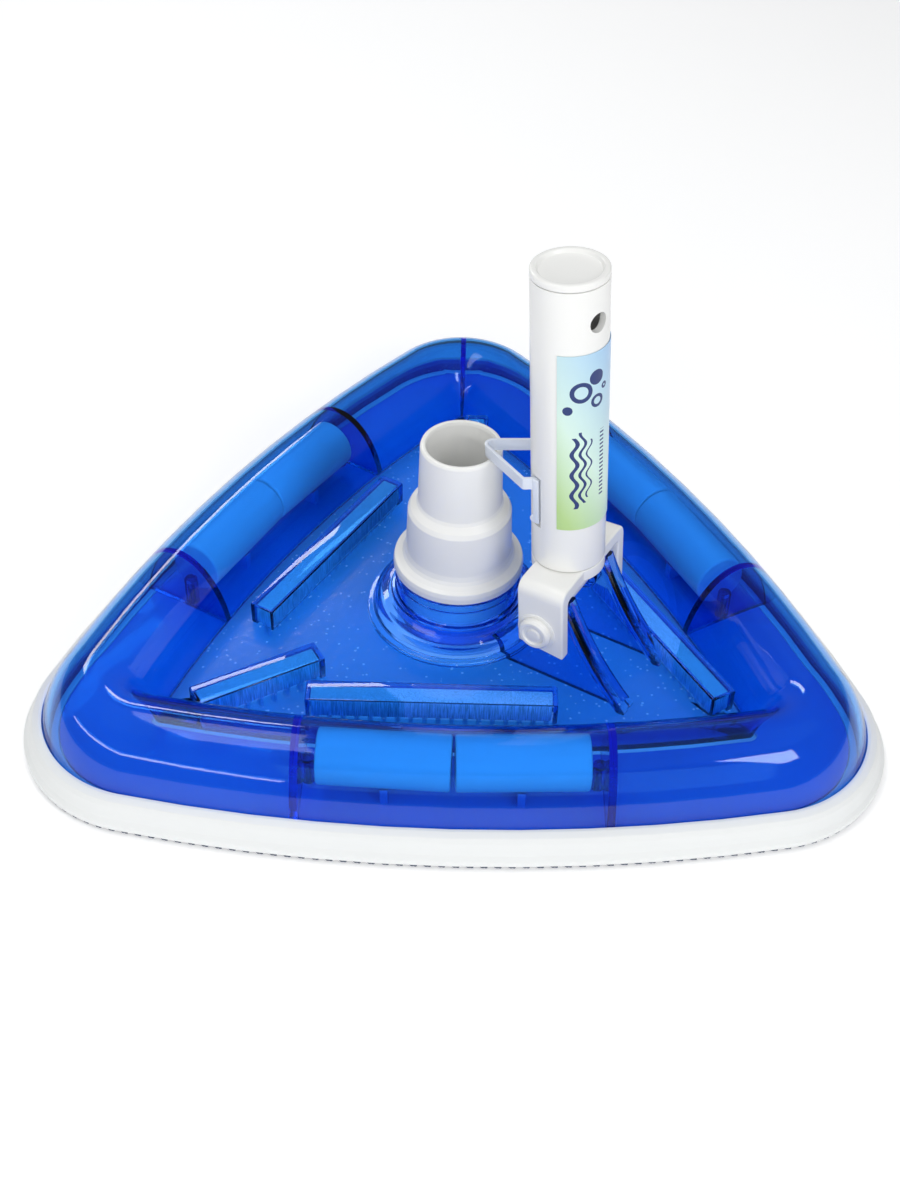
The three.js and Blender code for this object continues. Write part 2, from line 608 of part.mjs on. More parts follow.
function screwSolid(k, sign) {
  const foot = COVER_FOOT - GAP;
  const along = sign * SCREW_ALONG;
  const screw = turned([
    [0, foot - SCREW_HEAD_HEIGHT],
    [0.7 * SCREW_HEAD_RADIUS, foot - SCREW_HEAD_HEIGHT],
    [SCREW_HEAD_RADIUS, foot - 0.4 * SCREW_HEAD_HEIGHT],
    [SCREW_HEAD_RADIUS, foot],
    [SCREW_SHANK_RADIUS, foot],
    [SCREW_SHANK_RADIUS, PLATE_BOTTOM + 0.7 * SCREW_PILOT_DEPTH],
    [0, PLATE_BOTTOM + 0.85 * SCREW_PILOT_DEPTH],
  ], ROUND_SMALL);
  return ontoSide(screw.translate([bowedLine(WEIGHT_INSET, along), along, 0]), k);
}

// ---------------------------------------------------------------- swivelling hose cuff
function cuffSolid() {
  const topFoot = CUFF_TOP_RADIUS + CUFF_DRAFT;
  const lowerFoot = CUFF_LOWER_RADIUS + CUFF_DRAFT;
  const stepFoot = CUFF_STEP_Z - 3.4;
  const boreTop = CUFF_TOP_RADIUS - CUFF_WALL;
  const boreLow = CUFF_LOWER_RADIUS - CUFF_WALL;
  const retainerZ = PLATE_BOTTOM - GAP;
  const grooveRadius = lowerFoot - CUFF_GROOVE_DEPTH;
  return turned([
    [boreLow, CUFF_FOOT_Z],
    [lowerFoot - 0.5, CUFF_FOOT_Z],
    [lowerFoot, CUFF_FOOT_Z + 0.5],
    [lowerFoot, retainerZ - RETAINER_THICKNESS - GAP],
    [grooveRadius, retainerZ - RETAINER_THICKNESS - GAP],
    [grooveRadius, retainerZ + GAP],
    [lowerFoot, retainerZ + GAP],
    [lowerFoot, CUFF_FLANGE_BOTTOM],
    [CUFF_FLANGE_RADIUS - 0.5, CUFF_FLANGE_BOTTOM],
    [CUFF_FLANGE_RADIUS, CUFF_FLANGE_BOTTOM + 0.5],
    [CUFF_FLANGE_RADIUS - 0.2, CUFF_FLANGE_TOP - 0.8],
    [CUFF_FLANGE_RADIUS - 0.9, CUFF_FLANGE_TOP],
    [lowerFoot + 1.4, CUFF_FLANGE_TOP + 1.5],
    [lowerFoot + 0.3, CUFF_FLANGE_TOP + 2.6],
    [lowerFoot - 0.1, CUFF_FLANGE_TOP + 4.2],
    [CUFF_LOWER_RADIUS, stepFoot],
    [CUFF_LOWER_RADIUS - 0.5, stepFoot + 1.4],
    [CUFF_LOWER_RADIUS - 1.8, stepFoot + 2.3],
    [topFoot + 0.5, CUFF_STEP_Z],
    [topFoot, CUFF_STEP_Z + 1.4],
    [CUFF_TOP_RADIUS, CUFF_TOP - 0.9],
    [CUFF_TOP_RADIUS - 0.5, CUFF_TOP - 0.2],
    [CUFF_TOP_RADIUS - 1.1, CUFF_TOP],
    [boreTop + 0.4, CUFF_TOP - 0.3],
    [boreTop, CUFF_TOP - 1.2],
    [boreTop, stepFoot + 1],
    [boreLow, stepFoot - 3.6],
    [boreLow, CUFF_FOOT_Z],
  ], ROUND_FINE);
}

function ringSolid(inner, outer, z0, z1, facets) {
  return turned([[inner, z0], [outer, z0], [outer, z1], [inner, z1], [inner, z0]], facets);
}

function sealSolid() {
  const inner = CUFF_LOWER_RADIUS + CUFF_DRAFT + GAP;
  const outer = COLLAR_NECK_RADIUS - 0.4;
  return ringSolid(inner, outer, COLLAR_TOP + GAP, CUFF_FLANGE_BOTTOM - GAP, ROUND_FINE);
}

function retainerSolid() {
  const top = PLATE_BOTTOM - GAP;
  const inner = CUFF_LOWER_RADIUS + CUFF_DRAFT - CUFF_GROOVE_DEPTH + GAP;
  const ring = ringSolid(inner, RETAINER_RADIUS, top - RETAINER_THICKNESS, top, ROUND_FINE);
  const split = box(0, 2 * RETAINER_RADIUS, -2, 2, 0, top + 1);
  return ring.subtract(split);
}

// ---------------------------------------------------------------- handle
// These are made about the pivot axis, with the tube along +Z and the port towards -X.
function yokeSolid() {
  const front = new THREE.Shape();
  front.moveTo(-EAR_OUTER, -EAR_DROP_FRONT);
  front.lineTo(-EAR_OUTER, BRIDGE_TOP - SHOULDER_RADIUS);
  front.absarc(
    SHOULDER_RADIUS - EAR_OUTER, BRIDGE_TOP - SHOULDER_RADIUS, SHOULDER_RADIUS,
    Math.PI, Math.PI / 2, true,
  );
  front.lineTo(EAR_OUTER - SHOULDER_RADIUS, BRIDGE_TOP);
  front.absarc(
    EAR_OUTER - SHOULDER_RADIUS, BRIDGE_TOP - SHOULDER_RADIUS, SHOULDER_RADIUS,
    Math.PI / 2, 0, true,
  );
  front.lineTo(EAR_OUTER, -EAR_DROP_FRONT);
  front.lineTo(EAR_INNER, -EAR_DROP_FRONT);
  front.lineTo(EAR_INNER, BRIDGE_UNDERSIDE - 2);
  front.quadraticCurveTo(EAR_INNER, BRIDGE_UNDERSIDE, EAR_INNER - 2, BRIDGE_UNDERSIDE);
  front.lineTo(2 - EAR_INNER, BRIDGE_UNDERSIDE);
  front.quadraticCurveTo(-EAR_INNER, BRIDGE_UNDERSIDE, -EAR_INNER, BRIDGE_UNDERSIDE - 2);
  front.lineTo(-EAR_INNER, -EAR_DROP_FRONT);
  const depth = EAR_REAR + EAR_FRONT;
  const options = { depth, bevelEnabled: false, curveSegments: 6 };
  // the outline is drawn in the YZ plane and runs from the port side to the corner side
  const clevis = new THREE.ExtrudeGeometry(front, options)
    .rotateX(Math.PI / 2)
    .rotateZ(Math.PI / 2)
    .translate(-EAR_REAR, 0, 0);
  const chin = new THREE.Shape();
  const below = EAR_DROP_FRONT + 5;
  chin.moveTo(-EAR_REAR - 1, -EAR_DROP_REAR);
  chin.lineTo(EAR_FRONT + 1, -EAR_DROP_FRONT - 0.1);
  chin.lineTo(EAR_FRONT + 1, -below);
  chin.lineTo(-EAR_REAR - 1, -below);
  const trimmed = solidOf(clevis).subtract(sidePlate(chin, 4 * EAR_OUTER, 0));
  const socket = turned([
    [0, BRIDGE_UNDERSIDE],
    [TUBE_RADIUS - 1, BRIDGE_UNDERSIDE],
    [TUBE_RADIUS, BRIDGE_UNDERSIDE + 1],
    [TUBE_RADIUS, BRIDGE_TOP],
    [TUBE_RADIUS - TUBE_WALL - GAP, BRIDGE_TOP],
    [TUBE_RADIUS - TUBE_WALL - GAP, BRIDGE_TOP + SPIGOT_LENGTH - 1],
    [TUBE_RADIUS - TUBE_WALL - GAP - 1, BRIDGE_TOP + SPIGOT_LENGTH],
    [0, BRIDGE_TOP + SPIGOT_LENGTH],
  ], ROUND_FINE);
  const pinHole = PIVOT_PIN_RADIUS + GAP;
  return trimmed.add(socket).subtract(rod("y", pinHole, 4 * EAR_OUTER, 0, 0, 0, ROUND_SMALL));
}

// Slots on the port side of the tube, one for each leg of the clip.
function clipSlots() {
  const half = CLIP_BAR / 2 + CLIP_SLOT_SIDE;
  const foot = CLIP_TOP - CLIP_LEG_DROP - 1.5;
  const leg = legLine();
  const slot = (sign) => box(
    -TUBE_RADIUS - 2, leg.x + 2.2, sign * leg.y - half, sign * leg.y + half, foot, CLIP_TOP + 1,
  );
  return slot(-1).add(slot(1));
}

function tubeSolid() {
  const tube = turned([
    [TUBE_RADIUS - TUBE_WALL, TUBE_FOOT],
    [TUBE_RADIUS, TUBE_FOOT],
    [TUBE_TOP_RADIUS, TUBE_TOP],
    [TUBE_TOP_RADIUS - TUBE_WALL, TUBE_TOP],
    [TUBE_RADIUS - TUBE_WALL, TUBE_FOOT],
  ], ROUND_FINE);
  const hole = rod("x", LOCK_HOLE_RADIUS, 4 * TUBE_RADIUS, 0, 0, TUBE_TOP - LOCK_HOLE_FROM_TOP)
    .rotate([0, 0, THREE.MathUtils.radToDeg(LOCK_HOLE_ANGLE)]);
  return tube.subtract(hole).subtract(clipSlots());
}

function capSolid() {
  const flangeFoot = TUBE_TOP + GAP;
  const top = flangeFoot + CAP_FLANGE_HEIGHT;
  const plug = TUBE_TOP_RADIUS - TUBE_WALL - GAP;
  return turned([
    [0, TUBE_TOP - 1],
    [plug - 2, TUBE_TOP - 1],
    [plug - 2, TUBE_TOP - CAP_PLUG_LENGTH],
    [plug - 0.4, TUBE_TOP - CAP_PLUG_LENGTH],
    [plug, TUBE_TOP - CAP_PLUG_LENGTH + 1],
    [plug, flangeFoot],
    [TUBE_TOP_RADIUS, flangeFoot],
    [TUBE_TOP_RADIUS, top - 1],
    [TUBE_TOP_RADIUS - 0.3, top - 0.3],
    [TUBE_TOP_RADIUS - 1, top],
    [CAP_DISH_RADIUS + 0.9, top],
    [CAP_DISH_RADIUS, top - CAP_DISH_DEPTH],
    [0, top - CAP_DISH_DEPTH - 0.4],
  ], ROUND_FINE);
}

function labelSolid() {
  const steps = Math.round((LABEL_SWEEP / (2 * Math.PI)) * ROUND_FINE);
  const rise = LABEL_BOTTOM - TUBE_FOOT;
  const radiusAt = (h) => TUBE_RADIUS + ((TUBE_TOP_RADIUS - TUBE_RADIUS) * h) / TUBE_LENGTH;
  const low = radiusAt(rise) + LABEL_GAP;
  const high = radiusAt(rise + LABEL_HEIGHT) + LABEL_GAP;
  const top = LABEL_BOTTOM + LABEL_HEIGHT;
  const profile = [
    [low, LABEL_BOTTOM],
    [low + LABEL_THICKNESS, LABEL_BOTTOM],
    [high + LABEL_THICKNESS, top],
    [high, top],
    [low, LABEL_BOTTOM],
  ];
  const sweep = turned(profile, ROUND_FINE);
  const facet = (2 * Math.PI) / ROUND_FINE;
  const start = Math.round(LABEL_START / facet) * facet;
  const wedge = new THREE.Shape();
  wedge.moveTo(0, 0);
  for (let i = 0; i <= steps; i += 1) {
    const angle = start + i * facet;
    wedge.lineTo(3 * TUBE_RADIUS * Math.cos(angle), 3 * TUBE_RADIUS * Math.sin(angle));
  }
  const height = LABEL_HEIGHT + 4;
  const sector = new THREE.ExtrudeGeometry(wedge, { depth: height, bevelEnabled: false });
  return sweep.intersect(solidOf(sector.translate(0, 0, LABEL_BOTTOM - 2)));
}

// Where the legs of the clip stand: towards the port from the tube axis, and to each side.
function legLine() {
  const y = TUBE_RADIUS * Math.sin(THREE.MathUtils.degToRad(58));
  const x = -Math.sqrt(TUBE_RADIUS * TUBE_RADIUS - y * y) + 0.6;
  return { x, y };
}

// The bow of the clip: a flat V with a round apex, and a leg down each slot of the tube.
function clipSolid() {
  const apex = new THREE.Vector3(-CLIP_REACH + CLIP_BAR / 2, 0, 0);
  const middle = CLIP_TOP - CLIP_DEPTH / 2;
  const knuckle = (sign) => new THREE.Vector3(-CLIP_KNUCKLE_X, sign * CLIP_KNUCKLE_Y, 0);
  const leg = legLine();
  const arm = (sign) => {
    const from = apex.clone().setY(sign * CLIP_BOW_RADIUS * 0.7).setX(apex.x + 1.6);
    const to = knuckle(sign);
    const length = from.distanceTo(to);
    const angle = Math.atan2(to.y - from.y, to.x - from.x);
    return box(0, length, -CLIP_BAR / 2, CLIP_BAR / 2, -CLIP_DEPTH / 2, CLIP_DEPTH / 2)
      .rotate([0, 0, THREE.MathUtils.radToDeg(angle)])
      .translate([from.x, from.y, middle]);
  };
  const bend = (sign) => {
    const from = knuckle(sign);
    const to = new THREE.Vector3(leg.x, sign * leg.y, 0);
    const length = from.distanceTo(to);
    const angle = Math.atan2(to.y - from.y, to.x - from.x);
    return box(0, length, -CLIP_BAR / 2, CLIP_BAR / 2, -CLIP_DEPTH / 2, CLIP_DEPTH / 2)
      .rotate([0, 0, THREE.MathUtils.radToDeg(angle)])
      .translate([from.x, from.y, middle])
      .add(rod("z", CLIP_BAR / 2, CLIP_DEPTH, from.x, from.y, middle));
  };
  const upright = (sign) => {
    const foot = CLIP_TOP - CLIP_LEG_DROP;
    const y = sign * leg.y;
    const half = CLIP_BAR / 2;
    const shank = box(leg.x - 1.2, leg.x + 1.2, y - half, y + half, foot, CLIP_TOP);
    const catchNub = rod("y", 1.7, CLIP_BAR, leg.x - 0.9, y, foot + 1.7);
    return shank.add(catchNub);
  };
  const bow = rod("z", CLIP_BOW_RADIUS, CLIP_DEPTH, apex.x + 2, 0, middle, ROUND);
  const bowHollow = rod("z", CLIP_BOW_RADIUS - CLIP_BAR * 0.8, 20, apex.x + 2.6, 0, middle);
  return union(
    bow.subtract(bowHollow), arm(-1), arm(1), bend(-1), bend(1), upright(-1), upright(1),
  );
}

function pinSolid() {
  const headFoot = EAR_OUTER + GAP;
  const ring = 0.66 * PIN_HEAD_RADIUS;
  const headTop = headFoot + PIN_HEAD_HEIGHT;
  return turned([
    [0, -headFoot],
    [PIVOT_PIN_RADIUS, -headFoot],
    [PIVOT_PIN_RADIUS, headFoot],
    [PIN_HEAD_RADIUS, headFoot],
    [PIN_HEAD_RADIUS, headTop - 0.9],
    [PIN_HEAD_RADIUS - 0.9, headTop],
    [ring, headTop],
    [ring - 0.5, headTop - 0.6],
    [ring - 1.3, headTop - 0.6],
    [ring - 1.8, headTop],
    [0, headTop],
  ], ROUND).rotate([90, 0, 0]);
}

function pinCapSolid() {
  const inside = EAR_OUTER + GAP;
  const seat = inside + GAP;
  const socketFloor = seat + 1.6;
  return turned([
    [0, seat],
    [PIN_HEAD_RADIUS, seat],
    [PIN_HEAD_RADIUS, socketFloor],
    [PIN_HEAD_RADIUS - 0.9, seat + PIN_HEAD_HEIGHT],
    [0, seat + PIN_HEAD_HEIGHT],
  ], ROUND).rotate([-90, 0, 0]);
}

// ---------------------------------------------------------------- materials
function finish(colour, roughness, metalness = 0, opacity = 1) {
  return new THREE.MeshStandardMaterial({
    color: colour, roughness, metalness, opacity, transparent: opacity < 1,
  });
}

const CLEAR_BLUE = finish(0x0d3fae, 0.08, 0, 0.6);
const COVER_BLUE = finish(0x1443b4, 0.3, 0, 0.7);
const WHITE_PLASTIC = finish(0xf3f4f1, 0.35);
const SOFT_WHITE = finish(0xeff1ee, 0.6);
const BRISTLE = finish(0x9aa6b8, 0.8);
const PALE_BRISTLE = finish(0xe4ebf4, 0.8);
const NYLON = finish(0xe2e7f1, 0.4);
const COATED_STEEL = finish(0xdfe6ee, 0.45);
const STEEL = finish(0xa9adb2, 0.3, 1);
const RUBBER = finish(0x2b2d30, 0.7);
const LABEL_FILM = finish(0xcdebd8, 0.4);

// ---------------------------------------------------------------- assembly
const vacuumHead = new THREE.Group();
vacuumHead.position.x = -BASE_CENTRE_X;

function place(parent, name, solid, material) {
  const mesh = new THREE.Mesh(geometryOf(solid), material);
  mesh.name = name;
  parent.add(mesh);
}

place(vacuumHead, "shell", shellSolid(), CLEAR_BLUE);
place(vacuumHead, "bumper", bumperSolid(), SOFT_WHITE);
place(vacuumHead, "ring_brush", ringBrushSolid(), BRISTLE);
for (const pocket of POCKETS) {
  place(vacuumHead, pocket.name, brushStripSolid(pocket), PALE_BRISTLE);
}
place(vacuumHead, "base_cover", baseCoverSolid(), COVER_BLUE);
const SIDE_NAMES = ["left", "rear", "right"];
SIDE_NAMES.forEach((side, k) => {
  for (const [label, sign] of [["a", -1], ["b", 1]]) {
    place(vacuumHead, `weight_${side}_${label}`, weightSolid(k, sign), COATED_STEEL);
    place(vacuumHead, `cover_screw_${side}_${label}`, screwSolid(k, sign), STEEL);
  }
});
place(vacuumHead, "hose_cuff", cuffSolid(), WHITE_PLASTIC);
place(vacuumHead, "cuff_retainer", retainerSolid(), NYLON);
place(vacuumHead, "cuff_seal", sealSolid(), RUBBER);

const handle = new THREE.Group();
handle.position.set(PIVOT_X, 0, PIVOT_Z);
handle.rotation.y = -HANDLE_LEAN;
vacuumHead.add(handle);
place(handle, "yoke", yokeSolid(), WHITE_PLASTIC);
place(handle, "handle_tube", tubeSolid(), WHITE_PLASTIC);
place(handle, "tube_cap", capSolid(), WHITE_PLASTIC);
place(handle, "label", labelSolid(), LABEL_FILM);
place(handle, "pole_clip", clipSolid(), NYLON);
place(handle, "pivot_pin", pinSolid(), WHITE_PLASTIC);
place(handle, "pivot_cap", pinCapSolid(), WHITE_PLASTIC);

export default vacuumHead;
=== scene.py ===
import json
import math

import bmesh
import bpy
from mathutils import Matrix, Vector


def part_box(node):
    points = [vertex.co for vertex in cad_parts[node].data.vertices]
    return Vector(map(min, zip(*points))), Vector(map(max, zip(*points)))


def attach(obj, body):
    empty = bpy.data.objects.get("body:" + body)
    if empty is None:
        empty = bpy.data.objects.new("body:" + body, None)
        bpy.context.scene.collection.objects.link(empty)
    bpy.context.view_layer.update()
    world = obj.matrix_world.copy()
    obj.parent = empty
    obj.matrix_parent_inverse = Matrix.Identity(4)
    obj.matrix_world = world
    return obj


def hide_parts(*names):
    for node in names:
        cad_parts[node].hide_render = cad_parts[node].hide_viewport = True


bl_info = {
    "name": "Pool Vacuum Head",
    "version": (1, 0, 0),
    "blender": (4, 5, 0),
    "location": "3D View > Sidebar > Vacuum Head",
    "description": "Builds the visible pieces of a triangular pool vacuum head on its frame",
    "category": "Add Mesh",
}

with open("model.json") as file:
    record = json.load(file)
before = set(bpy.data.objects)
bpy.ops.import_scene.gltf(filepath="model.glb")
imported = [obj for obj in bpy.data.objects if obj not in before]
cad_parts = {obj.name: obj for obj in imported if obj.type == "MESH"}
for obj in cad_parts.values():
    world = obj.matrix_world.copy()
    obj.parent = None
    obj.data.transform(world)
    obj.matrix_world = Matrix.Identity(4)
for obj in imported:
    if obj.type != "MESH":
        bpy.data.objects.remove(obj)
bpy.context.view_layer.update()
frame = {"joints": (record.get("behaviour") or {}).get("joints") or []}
MM = 0.001
FULL_TURN = 2 * math.pi

# ------------------------------------------------------------------ places taken from the frame


def middle_of(node):
    low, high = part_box(node)
    return (low + high) / 2


PORT = middle_of("hose_cuff")
PORT.z = 0
TILT = next(j for j in frame["joints"] if j["name"] == "handle_tilt")
PIVOT = Vector(TILT["pos_m"])
HANDLE_LEAN = math.radians(4)  # towards the port
IN_BASE = Matrix.Translation(PORT) @ Matrix.Scale(MM, 4)
IN_HANDLE = (
    Matrix.Translation(PIVOT) @ Matrix.Rotation(-HANDLE_LEAN, 4, "Y") @ Matrix.Scale(MM, 4)
)

# ------------------------------------------------------------------ sizes of the frame's parts, mm
CORNER_REACH = 130.5  # port axis to the centre of each corner's arc
CORNER_RADIUS = 47
SIDE_BOW_RADIUS = 610
SIDE_HALF_ANGLE = math.asin(
    CORNER_REACH * math.sin(math.pi / 3) / (SIDE_BOW_RADIUS - CORNER_RADIUS)
)
BOW_CENTRE = (SIDE_BOW_RADIUS - CORNER_RADIUS) * math.cos(SIDE_HALF_ANGLE) - CORNER_REACH / 2
SIDE_ANGLES = {"left": 60, "rear": 180, "right": 300}
RIBBED_CORNER = 120  # turn in degrees of the corner with a rib across its ridge
CORNER_RIB = 2.4
GAP = 0.35  # between pieces that lie against each other

SHELL_FOOT = 5
PLATE_TOP = 10
PLATE_BOTTOM = 7.5
WIDE_FACE = 400  # area from which a flat face of the plate is parted into strips
PLATE_STRIP = 17.3
WALL_FOOT = PLATE_BOTTOM + 0.25
CHAMBER_HALF = 56
BULKHEAD = 3
WEIGHT_RADIUS = 10.6
WEIGHT_LENGTH = 49.4
WEIGHT_INSET = 25.5
WEIGHT_Z = 22.2
WEIGHT_MIDDLE = WEIGHT_LENGTH / 2 + 0.65
SCREW_ALONG = 53.975  # middle of a side to a screw
SCREW_PILOT_RADIUS = 1.5
SCREW_BOSS_RADIUS = 2.7
SCREW_BOSS_TOP = 20.5
COVER_FOOT = 4.75
POCKET_WIDTH = 11
POCKET_WALL = 1.7
POCKET_TOP = 20
# turn in degrees, distance from the port, and the two ends along the pocket
POCKETS = {
    "left": (60, 61, -101, -8),
    "rear": (180, 61, -44, 52),
    "right": (300, 61, -56, 38),
    "corner_left": (30, 7, 68, 118),
    "corner_right": (330, 7, -118, -68),
}
COLLAR_BORE = 21.85
PIN_BORE = 3.45
FIN_PITCH = 15.8  # middle plane of the head to the middle of a fin
PIVOT_X = 50
PIVOT_Z = 41
EAR_INNER = 20.75
EAR_OUTER = 25.75
TUBE_FOOT = 21.95
TUBE_TOP = 140.95
TUBE_RADIUS = 14.1
TUBE_TOP_RADIUS = 13.85
TUBE_WALL = 2.6
CLIP_TOP = 61
CLIP_DEPTH = 4.8
CLIP_BAR = 2.3
LEG_X = -6.87
LEG_Y = 11.96
LABEL_START = math.radians(-80)
LABEL_SWEEP = math.radians(140)
LABEL_BOTTOM = 42.5
LABEL_HEIGHT = 74.5


# ------------------------------------------------------------------ settings shown in the panel
def length_setting(name, description, default):
    return bpy.props.FloatProperty(
        name=name, description=description, default=default, min=0, precision=4,
        subtype="DISTANCE", unit="LENGTH",
    )


def colour_setting(name, description, default):
    return bpy.props.FloatVectorProperty(
        name=name, description=description, default=default, min=0, max=1, size=3,
        subtype="COLOR",
    )


def share_setting(name, description, default):
    return bpy.props.FloatProperty(
        name=name, description=description, default=default, min=0, max=1, subtype="FACTOR",
    )


class ShellSettings(bpy.types.PropertyGroup):
    """Sizes and colours of the clear shell and what it carries"""

    ridge_half_width: length_setting("Ridge Half Width", "Half the width of the ridge", 0.0236)
    ridge_height: length_setting("Ridge Height", "Floor to the top of the ridge", 0.0366)
    wall: length_setting("Wall", "Thickness of the ridge's wall", 0.0025)
    plastic: colour_setting("Clear Plastic", "Tint of the clear plastic", (0.13, 0.47, 0.80))
    polish: share_setting("Polish Roughness", "Roughness of the ridge's polished face", 0.035)
    bumper: colour_setting("Bumper", "Colour of the soft bumper", (0.82, 0.835, 0.83))
    weight: colour_setting("Weight Coating", "Colour of the coated weights", (0.88, 0.92, 0.93))
    cover: colour_setting("Base Cover", "Colour of the ring under the ridge", (0.05, 0.26, 0.72))


class BrushSettings(bpy.types.PropertyGroup):
    """Sizes and colours of the brushes"""

    ring_pitch: length_setting("Ring Pitch", "Distance between tufts of the ring", 0.0051)
    tuft_width: length_setting("Tuft Width", "Width of a tuft of the ring", 0.0029)
    strip_pitch: length_setting("Strip Pitch", "Distance between tufts of a strip", 0.0052)
    # painted shade: the ring's tufts are coloured near black to stand for the shade under the
    # bumper
    ring_shade_colour: colour_setting("Ring Bristles", "Colour of the ring's tufts", (0.10, 0.12, 0.17))
    strip_colour: colour_setting("Strip Bristles", "Colour of the strips' tufts", (0.8, 0.86, 0.92))


class HandleSettings(bpy.types.PropertyGroup):
    """Sizes and colours of the cuff and the handle"""

    white: colour_setting("White Plastic", "Colour of the white plastic", (0.86, 0.875, 0.845))
    white_roughness: share_setting("White Roughness", "Roughness of the white plastic", 0.34)
    clip: colour_setting("Clip Nylon", "Colour of the clip", (0.74, 0.79, 0.88))
    label_low: colour_setting("Label Foot", "Label colour at its lower left", (0.50, 0.72, 0.28))
    label_mid: colour_setting("Label Middle", "Label colour in its middle", (0.70, 0.90, 0.78))
    label_high: colour_setting("Label Head", "Label colour at its upper right", (0.36, 0.60, 0.90))
    label_ink: colour_setting("Label Ink", "Colour of the printed pattern", (0.012, 0.035, 0.17))
    edge_round: length_setting("Edge Rounding", "Rounding of the fork's edges", 0.0009)


# ------------------------------------------------------------------ shaping
def softened(points, closed=False, steps=6):
    """Rounds the corners of a line of (x, y, radius) points."""
    line = []
    count = len(points)
    for i, (x, y, radius) in enumerate(points):
        here = Vector((x, y))
        if not radius or (not closed and i in (0, count - 1)):
            line.append(here)
            continue
        before = Vector(points[i - 1][:2]) - here
        after = Vector(points[(i + 1) % count][:2]) - here
        half = before.angle(after) / 2
        reach = min(radius / math.tan(half), 0.48 * before.length, 0.48 * after.length)
        start = here + before.normalized() * reach
        end = here + after.normalized() * reach
        for step in range(steps + 1):
            t = step / steps
            line.append(start * (1 - t) ** 2 + here * (2 * t * (1 - t)) + end * t**2)
    return line


def chain(bm, points, closed=False):
    """Adds vertices joined one after the other by edges."""
    verts = [bm.verts.new(p) for p in points]
    following = verts[1:] + ([verts[0]] if closed else [])
    return verts + [bm.edges.new(pair) for pair in zip(verts, following)]


def cleaned(bm, distance=1e-3):
    bmesh.ops.remove_doubles(bm, verts=bm.verts, dist=distance)
    bmesh.ops.dissolve_degenerate(bm, edges=bm.edges, dist=1e-5)
    bmesh.ops.recalc_face_normals(bm, faces=bm.faces)
    return bm


def turned(profile, steps=96, closed=False, fillet_steps=6):
    """Spins a line of (radius, z, fillet) points about Z."""
    bm = bmesh.new()
    line = softened(profile, closed, fillet_steps)
    wire = chain(bm, [(p.x, 0, p.y) for p in line], closed)
    bmesh.ops.spin(
        bm, geom=wire, cent=(0, 0, 0), axis=(0, 0, 1), angle=FULL_TURN, steps=steps, use_merge=True
    )
    return cleaned(bm)


def swept_round_base(section, closed, corner_steps=30, side_steps=10):
    """Carries a section of (outward, z) points once around the plan of the base."""
    bm = bmesh.new()
    angle = SIDE_HALF_ANGLE - math.pi / 3
    outward = Vector((math.cos(angle), math.sin(angle), 0))
    corner = Vector((CORNER_REACH, 0, 0))
    places = [corner + outward * (CORNER_RADIUS + p.x) + Vector((0, 0, p.y)) for p in section]
    wire = chain(bm, places, closed)
    corner_turn = FULL_TURN / 3 - 2 * SIDE_HALF_ANGLE
    for k in range(3):
        for centre, turn, steps in (
            (corner, corner_turn, corner_steps),
            (Vector((-BOW_CENTRE, 0, 0)), 2 * SIDE_HALF_ANGLE, side_steps),
        ):
            bearing = k * FULL_TURN / 3 + (math.pi / 3 if centre.x < 0 else 0)
            made = bmesh.ops.spin(
                bm, geom=wire, cent=Matrix.Rotation(bearing, 3, "Z") @ centre,
                axis=(0, 0, 1), angle=turn, steps=steps, use_merge=False,
            )
            wire = made["geom_last"]
    cleaned(bm, 5e-3)
    ends = [e for e in bm.edges if e.is_boundary]
    if ends:
        bmesh.ops.holes_fill(bm, edges=ends)
        bmesh.ops.recalc_face_normals(bm, faces=bm.faces)
    return bm


def sharp_edges(bm, degrees=40):
    limit = math.radians(degrees)
    return [e for e in bm.edges if len(e.link_faces) == 2 and e.calc_face_angle(0) > limit]


def bevelled(bm, size, segments=3, edges=None):
    chosen = sharp_edges(bm) if edges is None else edges
    bmesh.ops.bevel(
        bm, geom=chosen, offset=size, offset_type="OFFSET", segments=segments, profile=0.5,
        affect="EDGES", clamp_overlap=True, material=-1,
    )
    return bm


def block(x0, x1, y0, y1, z0, z1, rounding=0.0):
    bm = bmesh.new()
    size = Vector((x1 - x0, y1 - y0, z1 - z0))
    centre = Vector((x0 + x1, y0 + y1, z0 + z1)) / 2
    bmesh.ops.create_cube(
        bm, size=1, matrix=Matrix.Translation(centre) @ Matrix.Diagonal(size).to_4x4()
    )
    return bevelled(bm, rounding, 3) if rounding else bm


def rod(radius, low, high, rounding=0.0, segments=48):
    """A round bar along Z from low to high."""
    bm = bmesh.new()
    bmesh.ops.create_cone(
        bm, cap_ends=True, segments=segments, radius1=radius, radius2=radius,
        depth=high - low, matrix=Matrix.Translation((0, 0, (low + high) / 2)),
    )
    if rounding:
        rims = [e for e in bm.edges if abs(e.verts[0].co.z - e.verts[1].co.z) < 1e-6]
        bevelled(bm, rounding, 4, rims)
    return bm


def plate_of(outline, low, high, steps=6):
    """A plate whose outline of (x, z, fillet) points lies in XZ, from low to high along Y."""
    bm = bmesh.new()
    line = softened(outline, True, steps)
    face = bm.faces.new([bm.verts.new((p.x, low, p.y)) for p in line])
    made = bmesh.ops.extrude_face_region(bm, geom=[face])
    far = [v for v in made["geom"] if isinstance(v, bmesh.types.BMVert)]
    bmesh.ops.translate(bm, verts=far, vec=(0, high - low, 0))
    return cleaned(bm)


def moved(bm, *matrices):
    """Applies matrices in order, the last one first."""
    place = Matrix.Identity(4)
    for matrix in matrices:
        place = place @ matrix
    bmesh.ops.transform(bm, matrix=place, verts=bm.verts)
    return bm


def turn_z(degrees):
    return Matrix.Rotation(math.radians(degrees), 4, "Z")


